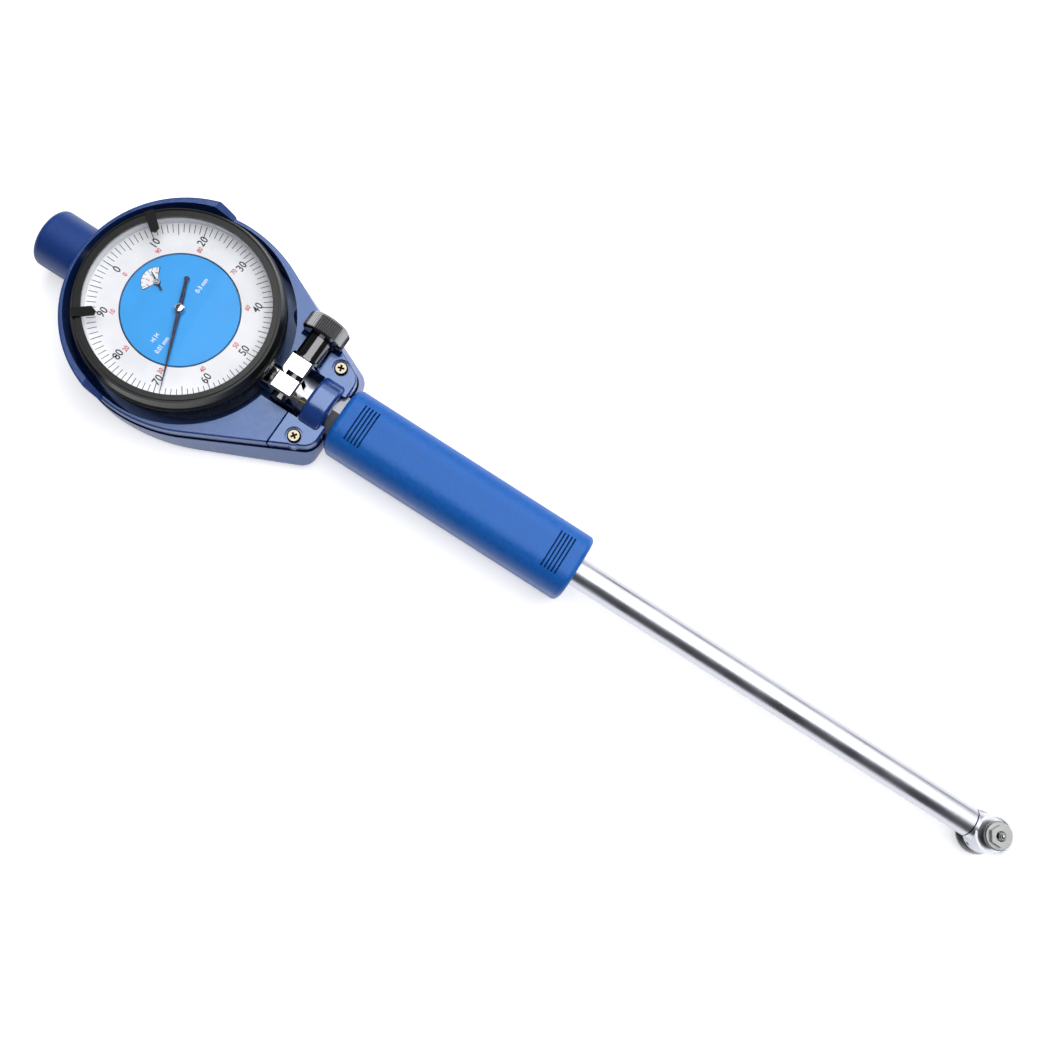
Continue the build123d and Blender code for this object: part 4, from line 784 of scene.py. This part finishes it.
class GAUGE_OT_counter_print(bpy.types.Operator):
    """Prints the small counter's fan, its marks and its numbers"""

    bl_idname = "gauge.counter_print"
    bl_label = "Counter print"

    def execute(self, context):
        radius = context.scene.gauge_dial.counter_r
        hub = joint_spot("counter_turn")
        edge = sector(hub, radius + FAN_EDGE, FAN_HALF_DEG + 4, CENTRE_Z)
        settle(edge, "counter_edge", "black_ink", "frame")
        fan = sector(hub, radius, FAN_HALF_DEG, CENTRE_Z + INK / 2)
        settle(fan, "counter_fan", "white_ink", "frame")
        parts = []
        for i in range(7):
            degrees = FAN_FIRST_DEG - FAN_MARK_DEG * i
            length = (0.8 if i % 2 == 0 else 0.5) * MM
            spot = hub + dial_point(radius - length / 2, degrees)
            spot.z = PRINT_Z
            parts.append(bar(spot, (length, FAN_MARK_W, INK), -degrees))
        parts += [self.number(hub, radius, i) for i in (0, 1)]
        settle(join(parts), "counter_marks", "black_ink", "frame")
        numbers = [self.number(hub, radius, i) for i in (2, 3)]
        settle(join(numbers), "counter_numbers", "red_ink", "frame")
        return {"FINISHED"}

    def number(self, hub, radius, value):
        """One number of the counter, inside the fan's marks."""
        spot = hub + dial_point(radius * FAN_NUMBER_SHARE, FAN_FIRST_DEG - FAN_NUMBER_DEG * value)
        return words(str(value), FAN_NUMBER_H, spot, PRINT_Z)


def area_lamp(name, spot, size, power):
    """White lamp with a large face that looks at the middle of the object."""
    bpy.ops.object.select_all(action="DESELECT")
    bpy.ops.object.light_add(type="AREA", location=spot)
    lamp = bpy.context.object
    lamp.name = name
    lamp.data.shape = "RECTANGLE"
    lamp.data.size, lamp.data.size_y = size
    lamp.data.energy = power
    lamp.rotation_euler = (Vector(LAMP_AIM) - Vector(spot)).to_track_quat("-Z", "Y").to_euler()


class GAUGE_OT_stage(bpy.types.Operator):
    """Sets the floor, the light and the camera"""

    bl_idname = "gauge.stage"
    bl_label = "Stage"

    def execute(self, context):
        sizes = context.scene.gauge_stage
        self.floor()
        self.room(context, sizes.room)
        area_lamp("softbox", SOFTBOX_PLACE, SOFTBOX_SIZE, sizes.softbox)
        area_lamp("panel", PANEL_PLACE, PANEL_SIZE, sizes.softbox * PANEL_SHARE)
        self.camera(context)
        context.scene.view_settings.view_transform = "Standard"
        return {"FINISHED"}

    def room(self, context, strength):
        """Dim room round the table, white to the camera."""
        world = bpy.data.worlds.new("studio")
        context.scene.world = world
        world.use_nodes = True
        tree = world.node_tree
        background = tree.nodes["Background"]
        background.inputs[0].default_value = linear("#E8ECF8")
        seen = add_node(tree, "ShaderNodeLightPath").outputs["Is Camera Ray"]
        tree.links.new(reckon(tree, "MULTIPLY_ADD", seen, 1.0 - strength, strength), background.inputs[1])

    def floor(self):
        """Pale table that looks white to the camera and in reflections, and keeps shadows."""
        bpy.ops.object.select_all(action="DESELECT")
        bpy.ops.mesh.primitive_plane_add(size=6, location=(0.1, 0, cad_box[0][2]))
        floor = bpy.context.object
        floor.name = "floor"
        material, tree, shader, _, place = new_material("pale_floor")
        paint = tint(tree, grain(tree, place, 120.0), linear("#F2F2F3"), 0.015)
        tree.links.new(paint, shader.inputs["Base Color"])
        shader.inputs["Roughness"].default_value = 0.9
        path = add_node(tree, "ShaderNodeLightPath")
        seen = reckon(tree, "MAXIMUM", path.outputs["Is Camera Ray"], path.outputs["Is Glossy Ray"])
        seen = reckon(tree, "MAXIMUM", seen, path.outputs["Is Transmission Ray"])
        shader.inputs["Emission Color"].default_value = (1, 1, 1, 1)
        tree.links.new(reckon(tree, "MULTIPLY", seen, FLOOR_GLOW), shader.inputs["Emission Strength"])
        floor.data.materials.append(material)

    def camera(self, context):
        """Camera at the photograph's angle, turned so that the tube slants as it does there."""
        sizes = context.scene.gauge_stage
        back = Vector((0, -math.sin(sizes.tilt), math.cos(sizes.tilt)))
        side = Vector((1, 0, 0))
        rise = back.cross(side)
        right = math.cos(sizes.roll) * side + math.sin(sizes.roll) * rise
        up = -math.sin(sizes.roll) * side + math.cos(sizes.roll) * rise
        data = bpy.data.cameras.new("camera")
        camera = bpy.data.objects.new("camera", data)
        context.scene.collection.objects.link(camera)
        data.lens = sizes.lens
        data.sensor_width = 36.0
        data.clip_start = 0.01
        spot = Vector(CAMERA_AIM) + sizes.distance * back
        camera.matrix_world = Matrix.Translation(spot) @ Matrix((right, up, back)).transposed().to_4x4()
        context.scene.camera = camera


class GAUGE_PT_panel(bpy.types.Panel):
    """Lists the gauge's operators and sizes"""

    bl_label = "Dial bore gauge"
    bl_idname = "GAUGE_PT_panel"
    bl_space_type = "VIEW_3D"
    bl_region_type = "UI"
    bl_category = "Gauge"

    def draw(self, context):
        for group in ("gauge_colours", "gauge_dial", "gauge_stage"):
            settings = getattr(context.scene, group)
            for key in settings.bl_rna.properties.keys():
                if key not in ("rna_type", "name"):
                    self.layout.prop(settings, key)
        for operator in STEPS:
            self.layout.operator(operator.bl_idname)


STEPS = (
    GAUGE_OT_finishes, GAUGE_OT_screw_recesses, GAUGE_OT_dial_print, GAUGE_OT_centre_print,
    GAUGE_OT_counter_print, GAUGE_OT_counter_cap, GAUGE_OT_stage,
)
CLASSES = (GaugeColours, GaugeDialSizes, GaugeStageSizes, *STEPS, GAUGE_PT_panel)


def register():
    for cls in CLASSES:
        bpy.utils.register_class(cls)
    bpy.types.Scene.gauge_colours = bpy.props.PointerProperty(type=GaugeColours)
    bpy.types.Scene.gauge_dial = bpy.props.PointerProperty(type=GaugeDialSizes)
    bpy.types.Scene.gauge_stage = bpy.props.PointerProperty(type=GaugeStageSizes)


def unregister():
    del bpy.types.Scene.gauge_stage
    del bpy.types.Scene.gauge_dial
    del bpy.types.Scene.gauge_colours
    for cls in reversed(CLASSES):
        bpy.utils.unregister_class(cls)


def main():
    register()
    for step in STEPS:
        group, name = step.bl_idname.split(".")
        getattr(getattr(bpy.ops, group), name)()


if __name__ == "__main__":
    main()
